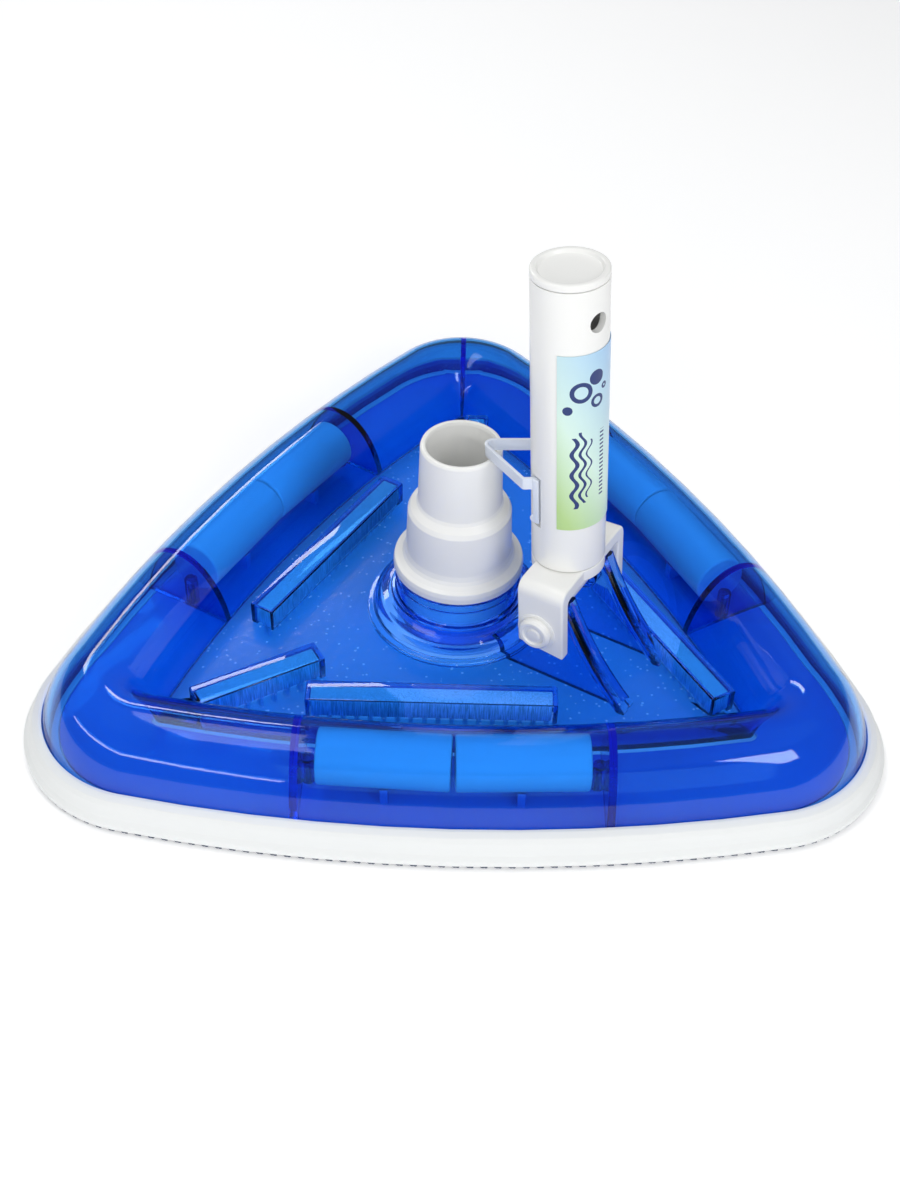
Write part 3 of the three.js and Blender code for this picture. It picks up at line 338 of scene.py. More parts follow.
def along_y():
    """Lays something made along Z down along Y."""
    return Matrix.Rotation(-math.pi / 2, 4, "X")


def shift(x, y, z):
    return Matrix.Translation((x, y, z))


def bowed_line(inset, along):
    """Distance from the port, out towards a side, of a line that follows the side's bow."""
    return math.sqrt((SIDE_BOW_RADIUS - inset) ** 2 - along**2) - BOW_CENTRE


def mesh_object(name, bm):
    mesh = bpy.data.meshes.new(name)
    bm.to_mesh(mesh)
    bm.free()
    thing = bpy.data.objects.new(name, mesh)
    bpy.context.scene.collection.objects.link(thing)
    return thing


def combined(base, joined=(), cut=()):
    """One solid: a base with pieces joined to it, then pieces cut out of it."""
    thing = mesh_object("work_piece", base)
    tools = []
    for operation, pieces in (("UNION", joined), ("DIFFERENCE", cut)):
        for piece in pieces:
            tool = mesh_object("work_tool", piece)
            step = thing.modifiers.new(operation.title(), "BOOLEAN")
            step.operation = operation
            step.solver = "MANIFOLD"
            step.object = tool
            tools.append(tool)
    shown = thing.evaluated_get(bpy.context.evaluated_depsgraph_get())
    result = bmesh.new()
    result.from_mesh(shown.data)
    for used in [thing, *tools]:
        mesh = used.data
        bpy.data.objects.remove(used)
        bpy.data.meshes.remove(mesh)
    if not result.faces:
        raise RuntimeError("a cut or a join left nothing")
    fours = [f for f in result.faces if len(f.verts) == 4]
    bmesh.ops.triangulate(result, faces=fours, quad_method="BEAUTY")
    return result


def finished(name, bm, place, material, body, stands_for, smooth=35):
    """Turns a bmesh into a piece of the object: in the frame's metres, smooth, riding on a body."""
    bmesh.ops.transform(bm, matrix=place, verts=bm.verts)
    piece = mesh_object(name, bm)
    piece.data.shade_smooth()
    piece.data.set_sharp_from_angle(angle=math.radians(smooth))
    for face in piece.data.polygons:
        if len(face.vertices) > 8:  # wide flat faces keep their own normal
            face.use_smooth = False
    piece.data.materials.append(material)
    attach(piece, body)
    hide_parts(*stands_for)
    return piece


# ------------------------------------------------------------------ shared surface effects
def node(tree, kind, inputs=None, **values):
    made = tree.nodes.new(kind)
    for key, value in values.items():
        setattr(made, key, value)
    for key, value in (inputs or {}).items():
        socket = made.inputs[key]
        if isinstance(value, bpy.types.NodeSocket):
            tree.links.new(value, socket)
        else:
            socket.default_value = value
    return made


def math_node(tree, operation, *values, clamp=False):
    made = tree.nodes.new("ShaderNodeMath")
    made.operation = operation
    made.use_clamp = clamp
    for socket, value in zip(made.inputs, values):
        if isinstance(value, bpy.types.NodeSocket):
            tree.links.new(value, socket)
        else:
            socket.default_value = value
    return made.outputs[0]


def mixed_colour(tree, share, first, second):
    made = tree.nodes.new("ShaderNodeMix")
    made.data_type = "RGBA"
    for name, value in (("Factor_Float", share), ("A_Color", first), ("B_Color", second)):
        socket = next(s for s in made.inputs if s.identifier == name)
        if isinstance(value, bpy.types.NodeSocket):
            tree.links.new(value, socket)
        else:
            socket.default_value = value
    return next(s for s in made.outputs if s.identifier == "Result_Color")


def new_group(name, inputs, outputs):
    tree = bpy.data.node_groups.new(name, "ShaderNodeTree")
    for label, kind, default in inputs:
        socket = tree.interface.new_socket(label, in_out="INPUT", socket_type=kind)
        if default is not None:
            socket.default_value = default
    for label, kind in outputs:
        tree.interface.new_socket(label, in_out="OUTPUT", socket_type=kind)
    return tree, tree.nodes.new("NodeGroupInput").outputs, tree.nodes.new("NodeGroupOutput").inputs


FLOAT, COLOUR, VECTOR = "NodeSocketFloat", "NodeSocketColor", "NodeSocketVector"


def moulded_surface_group():
    """Slow colour drift, uneven gloss and fine grain of a moulded plastic."""
    tree, given, out = new_group(
        "Moulded Surface",
        [
            ("Vector", VECTOR, None),
            ("Colour", COLOUR, (0.8, 0.8, 0.8, 1)),
            ("Drift", FLOAT, 0.05),
            ("Roughness", FLOAT, 0.35),
            ("Gloss Spread", FLOAT, 0.08),
            ("Grain Size", FLOAT, 900),
        ],
        [("Colour", COLOUR), ("Roughness", FLOAT), ("Height", FLOAT)],
    )
    cloud = node(
        tree, "ShaderNodeTexNoise",
        {"Vector": given["Vector"], "Scale": 22.0, "Detail": 4.0, "Roughness": 0.55},
    ).outputs["Fac"]
    smear = node(
        tree, "ShaderNodeTexNoise",
        {"Vector": given["Vector"], "Scale": 130.0, "Detail": 3.0, "Distortion": 0.6},
    ).outputs["Fac"]
    grain = node(
        tree, "ShaderNodeTexNoise",
        {"Vector": given["Vector"], "Scale": given["Grain Size"], "Detail": 2.0},
    ).outputs["Fac"]
    drift = math_node(tree, "MULTIPLY", math_node(tree, "SUBTRACT", cloud, 0.5), given["Drift"])
    value = math_node(tree, "ADD", drift, 1.0)
    shade = node(tree, "ShaderNodeHueSaturation", {"Color": given["Colour"], "Value": value})
    spread = math_node(
        tree, "MULTIPLY", math_node(tree, "SUBTRACT", smear, 0.5), given["Gloss Spread"]
    )
    tree.links.new(shade.outputs["Color"], out["Colour"])
    tree.links.new(math_node(tree, "ADD", given["Roughness"], spread, clamp=True), out["Roughness"])
    tree.links.new(
        math_node(tree, "ADD", math_node(tree, "MULTIPLY", grain, 0.6), cloud), out["Height"]
    )
    return tree


def fine_scratches_group():
    """Thin crossing handling marks as a mask."""
    tree, given, out = new_group(
        "Fine Scratches",
        [("Vector", VECTOR, None), ("Density", FLOAT, 90.0), ("Amount", FLOAT, 0.5)],
        [("Mask", FLOAT)],
    )
    masks = []
    for turn, stretch in ((0.5, (1, 14, 3)), (2.1, (12, 1, 5))):
        bent = node(
            tree, "ShaderNodeMapping",
            {"Vector": given["Vector"], "Rotation": (0.3, turn, turn), "Scale": stretch},
        )
        streak = node(
            tree, "ShaderNodeTexNoise",
            {"Vector": bent.outputs["Vector"], "Scale": given["Density"], "Detail": 1.0},
        ).outputs["Fac"]
        thin = node(
            tree, "ShaderNodeMapRange",
            {"Value": streak, "From Min": 0.68, "From Max": 0.76, "To Min": 0.0, "To Max": 1.0},
        ).outputs["Result"]
        masks.append(thin)
    both = math_node(tree, "MAXIMUM", *masks)
    tree.links.new(math_node(tree, "MULTIPLY", both, given["Amount"]), out["Mask"])
    return tree


def height_fade_group():
    """A mask that is 1 below a height of the frame and 0 above it."""
    tree, given, out = new_group(
        "Height Fade",
        [("Vector", VECTOR, None), ("Height", FLOAT, 0.01), ("Blend", FLOAT, 0.001)],
        [("Mask", FLOAT)],
    )
    z = node(tree, "ShaderNodeSeparateXYZ", {"Vector": given["Vector"]}).outputs["Z"]
    top = math_node(tree, "ADD", given["Height"], given["Blend"])
    fade = node(
        tree, "ShaderNodeMapRange",
        {"Value": z, "From Min": given["Height"], "From Max": top, "To Min": 1.0, "To Max": 0.0},
    )
    tree.links.new(fade.outputs["Result"], out["Mask"])
    return tree


def bristle_streaks_group():
    """Streaks along Z that read as separate filaments."""
    tree, given, out = new_group(
        "Bristle Streaks",
        [
            ("Vector", VECTOR, None),
            ("Colour", COLOUR, (0.5, 0.5, 0.5, 1)),
            ("Filaments", FLOAT, 2600.0),
        ],
        [("Colour", COLOUR), ("Height", FLOAT)],
    )
    drawn = node(
        tree, "ShaderNodeMapping", {"Vector": given["Vector"], "Scale": (1.0, 1.0, 0.06)}
    ).outputs["Vector"]
    streak = node(
        tree, "ShaderNodeTexNoise", {"Vector": drawn, "Scale": given["Filaments"], "Detail": 2.0}
    ).outputs["Fac"]
    value = node(
        tree, "ShaderNodeMapRange",
        {"Value": streak, "From Min": 0.3, "From Max": 0.7, "To Min": 0.55, "To Max": 1.35},
    ).outputs["Result"]
    shade = node(tree, "ShaderNodeHueSaturation", {"Color": given["Colour"], "Value": value})
    tree.links.new(shade.outputs["Color"], out["Colour"])
    tree.links.new(streak, out["Height"])
    return tree


def printed_bubble_group():
    """A ring, or a full dot when the ring is wide, printed on the label."""
    tree, given, out = new_group(
        "Printed Bubble",
        [
            ("Across", FLOAT, None),
            ("Up", FLOAT, None),
            ("Centre Across", FLOAT, 0.2),
            ("Centre Up", FLOAT, 0.8),
            ("Radius", FLOAT, 0.05),
            ("Line", FLOAT, 0.02),
        ],
        [("Mask", FLOAT)],
    )
    dx = math_node(tree, "SUBTRACT", given["Across"], given["Centre Across"])
    dy = math_node(tree, "SUBTRACT", given["Up"], given["Centre Up"])
    reach = math_node(
        tree, "SQRT",
        math_node(tree, "ADD", math_node(tree, "POWER", math_node(tree, "ABSOLUTE", dx), 2.0),
                  math_node(tree, "POWER", math_node(tree, "ABSOLUTE", dy), 2.0)),
    )
    off = math_node(tree, "ABSOLUTE", math_node(tree, "SUBTRACT", reach, given["Radius"]))
    tree.links.new(math_node(tree, "LESS_THAN", off, given["Line"]), out["Mask"])
    return tree


def printed_wave_group():
    """A wavy band that runs up the label between two heights."""
    tree, given, out = new_group(
        "Printed Wave",
        [
            ("Across", FLOAT, None),
            ("Up", FLOAT, None),
            ("Middle", FLOAT, 0.12),
            ("Swing", FLOAT, 0.02),
            ("Half Width", FLOAT, 0.008),
            ("Low", FLOAT, 0.12),
            ("High", FLOAT, 0.55),
        ],
        [("Mask", FLOAT)],
    )
    phase = math_node(tree, "MULTIPLY", given["Up"], 52.0)
    swing = math_node(tree, "MULTIPLY", math_node(tree, "SINE", phase), given["Swing"])
    centre = math_node(tree, "ADD", given["Middle"], swing)
    off = math_node(tree, "ABSOLUTE", math_node(tree, "SUBTRACT", given["Across"], centre))
    above = math_node(tree, "GREATER_THAN", given["Up"], given["Low"])
    below = math_node(tree, "LESS_THAN", given["Up"], given["High"])
    inside = math_node(tree, "MULTIPLY", above, below)
    near = math_node(tree, "LESS_THAN", off, given["Half Width"])
    tree.links.new(math_node(tree, "MULTIPLY", near, inside), out["Mask"])
    return tree


GROUP_MAKERS = {
    "Moulded Surface": moulded_surface_group,
    "Fine Scratches": fine_scratches_group,
    "Height Fade": height_fade_group,
    "Bristle Streaks": bristle_streaks_group,
    "Printed Bubble": printed_bubble_group,
    "Printed Wave": printed_wave_group,
}


def group_node(tree, name, inputs):
    shared = bpy.data.node_groups.get(name) or GROUP_MAKERS[name]()
    made = tree.nodes.new("ShaderNodeGroup")
    made.node_tree = shared
    for key, value in inputs.items():
        if isinstance(value, bpy.types.NodeSocket):
            tree.links.new(value, made.inputs[key])
        else:
            made.inputs[key].default_value = value
    return made.outputs


# ------------------------------------------------------------------ materials
def rgba(colour):
    return (*colour, 1.0)


def new_material(name):
    material = bpy.data.materials.new(name)
    material.use_nodes = True
    tree = material.node_tree
    shader = tree.nodes["Principled BSDF"]
    place = tree.nodes.new("ShaderNodeTexCoord").outputs["Object"]
    return material, tree, shader, place


def grain_normal(tree, shader, height, strength, distance):
    bump = node(
        tree, "ShaderNodeBump", {"Height": height, "Strength": strength, "Distance": distance}
    )
    tree.links.new(bump.outputs["Normal"], shader.inputs["Normal"])


def moulded_material(name, colour, roughness, drift=0.05, spread=0.1, grain=900.0,
                     strength=0.12, scratches=0.25, **sockets):
    material, tree, shader, place = new_material(name)
    surface = group_node(tree, "Moulded Surface", {
        "Vector": place, "Colour": rgba(colour), "Drift": drift, "Roughness": roughness,
        "Gloss Spread": spread, "Grain Size": grain,
    })
    marks = group_node(tree, "Fine Scratches", {"Vector": place, "Amount": scratches})["Mask"]
    tree.links.new(surface["Colour"], shader.inputs["Base Color"])
    rough = math_node(tree, "ADD", surface["Roughness"], math_node(tree, "MULTIPLY", marks, 0.3))
    tree.links.new(rough, shader.inputs["Roughness"])
    grain_normal(tree, shader, surface["Height"], strength, 0.0003)
    for key, value in sockets.items():
        shader.inputs[key.replace("_", " ").title()].default_value = value
    return material


def clear_plastic(settings):
    """Tinted clear plastic, polished on the ridge and finely frosted on the plate, with painted
    light in a lighter tint near the middle, painted shade in a deeper tint on the plate, and white
    flecks of painted sparkle on the plate.
    """
    material, tree, shader, place = new_material("clear_blue_plastic")
    surface = group_node(tree, "Moulded Surface", {
        "Vector": place, "Colour": rgba(settings.plastic), "Drift": 0.06,
        "Roughness": settings.polish, "Gloss Spread": 0.03, "Grain Size": 420.0,
    })
    low = group_node(tree, "Height Fade", {"Vector": place, "Height": 0.0104, "Blend": 0.0004})
    # painted sparkle: white flecks in the plate's tint, each over a small raised bump
    flecks = node(
        tree, "ShaderNodeTexVoronoi", {"Vector": place, "Scale": 240.0, "Randomness": 1.0}
    ).outputs["Distance"]
    fleck = math_node(tree, "LESS_THAN", flecks, 0.13)
    painted_sparkle_mask = math_node(tree, "MULTIPLY", fleck, low["Mask"])
    # painted light: the collar, fins and pockets stand inside the ridge, where the walls cross most
    # often, and a lighter tint there offsets the shade of those many walls
    plan = node(tree, "ShaderNodeVectorMath", {0: place, 1: (1, 1, 0)}, operation="MULTIPLY")
    reach = node(
        tree, "ShaderNodeVectorMath", {0: plan.outputs["Vector"]}, operation="LENGTH"
    ).outputs["Value"]
    inside = math_node(tree, "LESS_THAN", reach, 0.068)
    thin = mixed_colour(tree, inside, surface["Colour"], (0.32, 0.62, 0.98, 1))
    # painted shade: below the plate's top the tint turns a deeper blue, standing for the shade on
    # the floor under the shell
    painted_light_and_shade_tint = mixed_colour(tree, low["Mask"], thin, (0.035, 0.28, 0.66, 1))
    colour = mixed_colour(tree, painted_sparkle_mask, painted_light_and_shade_tint, (1.0, 1.0, 1.0, 1))
    tree.links.new(colour, shader.inputs["Base Color"])
    frosting = math_node(tree, "MULTIPLY", low["Mask"], 0.16)
    tree.links.new(
        math_node(tree, "ADD", surface["Roughness"], frosting), shader.inputs["Roughness"]
    )
    ripple = node(
        tree, "ShaderNodeTexNoise", {"Vector": place, "Scale": 300.0, "Detail": 3.0}
    ).outputs["Fac"]
    height = math_node(tree, "ADD", math_node(tree, "MULTIPLY", ripple, low["Mask"]),
                       math_node(tree, "MULTIPLY", surface["Height"], 0.012))
    height = math_node(tree, "ADD", height, math_node(tree, "MULTIPLY", painted_sparkle_mask, 0.8))
    grain_normal(tree, shader, height, 0.35, 0.0004)
    shader.inputs["Transmission Weight"].default_value = 1.0
    shader.inputs["IOR"].default_value = 1.46
    # lamps reach what is behind the plastic
    lamp_ray = tree.nodes.new("ShaderNodeLightPath").outputs["Is Shadow Ray"]
    clear = node(tree, "ShaderNodeBsdfTransparent", {"Color": (0.5, 0.76, 0.96, 1)})
    mix = node(tree, "ShaderNodeMixShader", {"Fac": lamp_ray})
    output = tree.nodes["Material Output"]
    tree.links.new(shader.outputs["BSDF"], mix.inputs[1])
    tree.links.new(clear.outputs["BSDF"], mix.inputs[2])
    tree.links.new(mix.outputs["Shader"], output.inputs["Surface"])
    # the deeper the plastic, the deeper its blue
    depth = node(
        tree, "ShaderNodeVolumeAbsorption", {"Color": (0.04, 0.55, 0.985, 1), "Density": 120.0}
    )
    tree.links.new(depth.outputs["Volume"], output.inputs["Volume"])
    return material


def bristle_material(name, colour):
    material, tree, shader, place = new_material(name)
    streaks = group_node(tree, "Bristle Streaks", {"Vector": place, "Colour": rgba(colour)})
    tree.links.new(streaks["Colour"], shader.inputs["Base Color"])
    grain_normal(tree, shader, streaks["Height"], 0.5, 0.0002)
    rough = node(
        tree, "ShaderNodeMapRange",
        {"Value": streaks["Height"], "To Min": 0.45, "To Max": 0.75},
    ).outputs["Result"]
    tree.links.new(rough, shader.inputs["Roughness"])
    return material


def steel_material():
    material, tree, shader, place = new_material("screw_steel")
    surface = group_node(tree, "Moulded Surface", {
        "Vector": place, "Colour": (0.56, 0.57, 0.58, 1), "Drift": 0.2, "Roughness": 0.3,
        "Gloss Spread": 0.2, "Grain Size": 2500.0,
    })
    tree.links.new(surface["Colour"], shader.inputs["Base Color"])
    tree.links.new(surface["Roughness"], shader.inputs["Roughness"])
    grain_normal(tree, shader, surface["Height"], 0.2, 0.0001)
    shader.inputs["Metallic"].default_value = 1.0
    return material


def label_material(settings):
    """Printed film: a soft three-colour wash with waves, bubbles and short bars in dark ink."""
    material, tree, shader, place = new_material("label_film")
    chart = node(tree, "ShaderNodeUVMap", uv_map="label").outputs["UV"]
    parts = node(tree, "ShaderNodeSeparateXYZ", {"Vector": chart}).outputs
    across, up = parts["X"], parts["Y"]
    slant = math_node(
        tree, "ADD", math_node(tree, "MULTIPLY", up, 0.62), math_node(tree, "MULTIPLY", across, 1.1)
    )
    low_half = node(
        tree, "ShaderNodeMapRange", {"Value": slant, "From Min": 0.08, "From Max": 0.42}
    ).outputs["Result"]
    high_half = node(
        tree, "ShaderNodeMapRange", {"Value": slant, "From Min": 0.4, "From Max": 0.95}
    ).outputs["Result"]
    wash = mixed_colour(tree, low_half, rgba(settings.label_low), rgba(settings.label_mid))
    wash = mixed_colour(tree, high_half, wash, rgba(settings.label_high))
    place_on = {"Across": across, "Up": up}
    marks = [
        group_node(tree, "Printed Wave", {**place_on, "Middle": m, "Half Width": w,
                                          "Swing": s, "Low": lo, "High": hi})["Mask"]
        for m, w, s, lo, hi in (
            (0.085, 0.0105, 0.014, 0.13, 0.55), (0.125, 0.0075, 0.014, 0.16, 0.58),
            (0.158, 0.0045, 0.014, 0.19, 0.53),
        )
    ]
    marks += [
        group_node(tree, "Printed Bubble", {**place_on, "Centre Across": x, "Centre Up": y,
                                            "Radius": r, "Line": line})["Mask"]
        for x, y, r, line in (
            (0.115, 0.80, 0.045, 0.011), (0.195, 0.865, 0.02, 0.02), (0.20, 0.735, 0.028, 0.008),
            (0.05, 0.705, 0.012, 0.012), (0.245, 0.80, 0.012, 0.006),
        )
    ]
    bars = math_node(tree, "MULTIPLY",
                     math_node(tree, "GREATER_THAN", math_node(
                         tree, "FRACT", math_node(tree, "MULTIPLY", up, 44.0)), 0.55),
                     math_node(tree, "COMPARE", across, 0.236, 0.014))
    span = math_node(tree, "COMPARE", up, 0.36, 0.2)
    marks.append(math_node(tree, "MULTIPLY", bars, span))
    ink = marks[0]
    for mark in marks[1:]:
        ink = math_node(tree, "MAXIMUM", ink, mark)
    colour = mixed_colour(tree, ink, wash, rgba(settings.label_ink))
    surface = group_node(tree, "Moulded Surface", {
        "Vector": place, "Colour": colour, "Drift": 0.05, "Roughness": 0.3,
        "Gloss Spread": 0.08, "Grain Size": 1500.0,
    })
    tree.links.new(surface["Colour"], shader.inputs["Base Color"])
    tree.links.new(surface["Roughness"], shader.inputs["Roughness"])
    grain_normal(tree, shader, surface["Height"], 0.06, 0.0002)
    return material


def material_named(name, maker, *details, **more):
    return bpy.data.materials.get(name) or maker(*details, **more)


def white_plastic():
    settings = bpy.context.scene.vacuum_handle
    return material_named(
        "white_plastic", moulded_material, "white_plastic", settings.white,
        settings.white_roughness, coat_weight=0.15, coat_roughness=0.2,
    )


# ------------------------------------------------------------------ shell
def ridge_section(settings):
    """Both faces of the ridge's wall, from under the plate round the foot to the plate's top."""
    half_width = settings.ridge_half_width / MM
    height = settings.ridge_height / MM
    wall = settings.wall / MM
    inner_half, inner_height = half_width - wall, height - wall

    def ellipse(half, top, first, last, steps):
        for i in range(steps + 1):
            turn = first + (last - first) * i / steps
            yield (half * math.cos(turn) - half_width, top * math.sin(turn), 0)

    inside = list(ellipse(
        inner_half, inner_height, math.pi - math.asin(PLATE_BOTTOM / inner_height),
        math.asin(SHELL_FOOT / inner_height), 44,
    ))
    outside = list(ellipse(
        half_width, height, math.asin(SHELL_FOOT / height),
        math.pi - math.asin((PLATE_TOP + 1.6) / height), 52,
    ))
    plate_end = outside[-1][0] - 7
    fillet = [(outside[-1][0] - 0.25, PLATE_TOP, 1.5), (plate_end, PLATE_TOP, 0)]
    return softened([(plate_end, PLATE_BOTTOM, 0), *inside, *outside, *fillet], steps=5)


def ridge_wall(settings, thickness, degrees, along):
    """A wall that closes the ridge's hollow, above the level of the plate."""
    half = (settings.ridge_half_width - settings.wall / 2) / MM
    height = (settings.ridge_height - settings.wall / 2) / MM
    bm = bmesh.new()
    bmesh.ops.create_circle(
        bm, cap_ends=True, segments=96, radius=1,
        matrix=Matrix.Diagonal((half, 1, height, 1)) @ Matrix.Rotation(math.pi / 2, 4, "X"),
    )
    everything = [*bm.verts, *bm.edges, *bm.faces]
    bmesh.ops.bisect_plane(
        bm, geom=everything, plane_co=(0, 0, WALL_FOOT), plane_no=(0, 0, -1), clear_outer=True
    )
    made = bmesh.ops.extrude_face_region(bm, geom=list(bm.faces))
    raised = [v for v in made["geom"] if isinstance(v, bmesh.types.BMVert)]
    bmesh.ops.translate(bm, verts=raised, vec=(0, thickness, 0))
    bmesh.ops.recalc_face_normals(bm, faces=bm.faces)
    ridge_middle = settings.ridge_half_width / MM
    if along is None:
        x = CORNER_REACH + CORNER_RADIUS - ridge_middle
        return moved(bm, turn_z(degrees), shift(x, -thickness / 2, 0))
    x = bowed_line(ridge_middle, along)
    return moved(bm, turn_z(degrees), shift(x, along - thickness / 2, 0))


def on_side(bm, degrees, along):
    """Puts something made about Z on the line of the weights, at a distance along a side."""
    return moved(bm, turn_z(degrees), shift(bowed_line(WEIGHT_INSET, along), along, 0))


def pocket_block(pocket, width, margin, low, high, rounding=0.0):
    degrees, outward, start, end = POCKETS[pocket]
    bm = block(
        outward - width / 2, outward + width / 2, start - margin, end + margin, low, high, rounding
    )
    return moved(bm, turn_z(degrees))


def collar_solid():
    return turned([
        (0, 8.5, 0), (37.3, 8.5, 0), (37.3, 12.1, 0.9), (34.9, 12.3, 0.5), (34.6, 14.6, 1.5),
        (33.6, 17.4, 2.5), (31.2, 19.6, 2.0), (28.8, 20.4, 0.8), (27.4, 20.5, 0.4),
        (27.0, 21.5, 0.3), (25.8, 21.7, 0.3), (25.3, 22.6, 0.4), (25.3, 27.2, 0.2),
        (25.7, 27.5, 0.15), (25.7, 28.6, 0.15), (25.3, 28.9, 0.2), (25.3, 32, 0.7), (0, 32, 0),
    ], 144)


def collar_hollow():
    return turned([
        (24.45, 6.5, 0), (32.2, 6.5, 0), (32.2, 12.5, 1), (30.9, 16.2, 1.5), (28.2, 17.6, 1.5),
        (24.45, 17.6, 1),
    ], 144, closed=True)


def fin_pieces(y):
    """The web of a fin, the rounded flange on its sloping edge and the boss for the pin."""
    top = PIVOT_Z + 11
    web = plate_of([
        (87, 8.2, 0), (87, PLATE_TOP + 0.6, 0), (76.5, 20.5, 8), (67.6, 31.9, 30), (61.3, 43, 20),
        (57.5, top, 2.5), (48, top, 5), (42, top - 4, 6), (40, PIVOT_Z - 3, 8),
        (24.6, 17.2, 0), (24.6, 8.2, 0),
    ], y - 1.3, y + 1.3)
    low, mid, high = Vector((86.6, 9.2)), Vector((68.0, 31.7)), Vector((57.5, 51.4))
    # centre of the circle through those three points of the slope
    a, b = mid - low, high - mid
    cross = a.x * b.y - a.y * b.x
    centre = mid + Vector((
        -(b.dot(b) * a.y + a.dot(a) * b.y), b.dot(b) * a.x + a.dot(a) * b.x,
    )) * 0.5 / cross
    arm = low - centre
    turn = arm.angle(high - centre)
    outward = arm.normalized()
    section = softened([
        (-1.7, -4.5, 1.5), (1.7, -4.5, 1.5), (1.7, -1.2, 0.5), (1.1, -0.5, 0.4), (1.1, 0.5, 0.4),
        (1.7, 1.2, 0.5), (1.7, 4.5, 1.5), (-1.7, 4.5, 1.5),
    ], True, 5)
    bm = bmesh.new()
    places = [
        (low.x - outward.x * p.x, y + p.y, low.y - outward.y * p.x) for p in section
    ]
    wire = chain(bm, places, True)
    # a turn about Y takes Z towards X
    sense = 1 if (arm.x * (high - centre).y - arm.y * (high - centre).x) < 0 else -1
    bmesh.ops.spin(
        bm, geom=wire, cent=(centre.x, y, centre.y), axis=(0, 1, 0), angle=sense * turn,
        steps=28, use_merge=False,
    )
    cleaned(bm)
    bmesh.ops.holes_fill(bm, edges=[e for e in bm.edges if e.is_boundary])
    bmesh.ops.recalc_face_normals(bm, faces=bm.faces)
    boss = moved(rod(6, -4.5, 4.5, 0.6), shift(PIVOT_X, y, PIVOT_Z), along_y())
    return [web, bm, boss]


def in_strips(bm):
    """Parts the wide flat faces into strips, so that cuts through them stay simple."""
    for direction in (Vector((1, 0, 0)), Vector((0, 1, 0))):
        for step in range(-8, 9):
            wide = [f for f in bm.faces if f.calc_area() > WIDE_FACE and abs(f.normal.z) > 0.999]
            edges = {e for f in wide for e in f.edges}
            verts = {v for f in wide for v in f.verts}
            bmesh.ops.bisect_plane(
                bm, geom=[*wide, *edges, *verts], dist=1e-4,
                plane_co=direction * (PLATE_STRIP * step + 1.9), plane_no=direction,
            )


def shell_solid(settings):
    base = swept_round_base(ridge_section(settings), closed=False)
    in_strips(base)
    joined = [collar_solid()]
    cut = [rod(COLLAR_BORE, -5, 60, segments=144), collar_hollow()]
    for degrees in SIDE_ANGLES.values():
        for sign in (-1, 1):
            joined.append(
                ridge_wall(settings, BULKHEAD, degrees, sign * (CHAMBER_HALF + BULKHEAD / 2))
            )
            boss = rod(SCREW_BOSS_RADIUS, WALL_FOOT, SCREW_BOSS_TOP, 0.6)
            joined.append(on_side(boss, degrees, sign * SCREW_ALONG))
            pilot = rod(SCREW_PILOT_RADIUS, 0, SCREW_BOSS_TOP - 2)
            cut.append(on_side(pilot, degrees, sign * SCREW_ALONG))
    joined.append(ridge_wall(settings, CORNER_RIB, RIBBED_CORNER, None))
    for pocket in POCKETS:
        joined.append(
            pocket_block(pocket, POCKET_WIDTH, POCKET_WALL, 8.5, POCKET_TOP, 0.8)
        )
        cut.append(
            pocket_block(pocket, POCKET_WIDTH - 2 * POCKET_WALL, 0, 6, POCKET_TOP - POCKET_WALL)
        )
    for y in (-FIN_PITCH, FIN_PITCH):
        joined += fin_pieces(y)
    cut.append(moved(rod(PIN_BORE, -40, 40), shift(PIVOT_X, 0, PIVOT_Z), along_y()))
    return combined(base, joined, cut)


class VACUUM_OT_shell(bpy.types.Operator):
    """Build the clear shell with its ridge, plate, collar, fins and brush pockets"""

    bl_idname = "vacuum.shell"
    bl_label = "Clear Shell"

    def execute(self, context):
        settings = context.scene.vacuum_shell
        material = clear_plastic(settings)
        finished(
            "clear_shell", shell_solid(settings), IN_BASE, material, "base",
            ["shell"], smooth=32,
        )
        return {"FINISHED"}


# ------------------------------------------------------------------ bumper and brushes
def outside_of_wall(settings, z):
    half_width, height = settings.ridge_half_width / MM, settings.ridge_height / MM
    return 0.35 - half_width * (1 - math.cos(math.asin(z / height)))


class VACUUM_OT_bumper(bpy.types.Operator):
    """Build the soft bumper round the foot of the shell"""

    bl_idname = "vacuum.bumper"
    bl_label = "Bumper"

    def execute(self, context):
        settings = context.scene.vacuum_shell
        lip = outside_of_wall(settings, 13.5)
        section = softened([
            (-6.6, 1.9, 0.5), (3.0, 1.9, 0.3), (3.0, 3.9, 0.1), (5.6, 3.9, 0.1), (5.6, 1.9, 0.3),
            (6.75, 1.9, 0.45), (6.8, 4.5, 0.7), (5.3, 6.2, 0.8), (4.3, 8.6, 3), (3.5, 11, 0.9),
            (2.4, 12.6, 0.9), (0, 13.5, 0.5), (lip, 13.45, 0.2),
            (outside_of_wall(settings, 9), 9, 0), (outside_of_wall(settings, 5), 4.65, 0.2),
            (-3.55, 4.65, 0.1), (-3.55, 7.1, 0.2), (-6.6, 7.1, 0.5),
        ], True, 5)
        bm = swept_round_base(section, closed=True)
        material = moulded_material(
            "soft_white_bumper", settings.bumper, 0.42, drift=0.04, spread=0.12, grain=700.0,
            strength=0.15,
        )
        finished("soft_bumper", bm, IN_BASE, material, "base", ["bumper"])
        return {"FINISHED"}


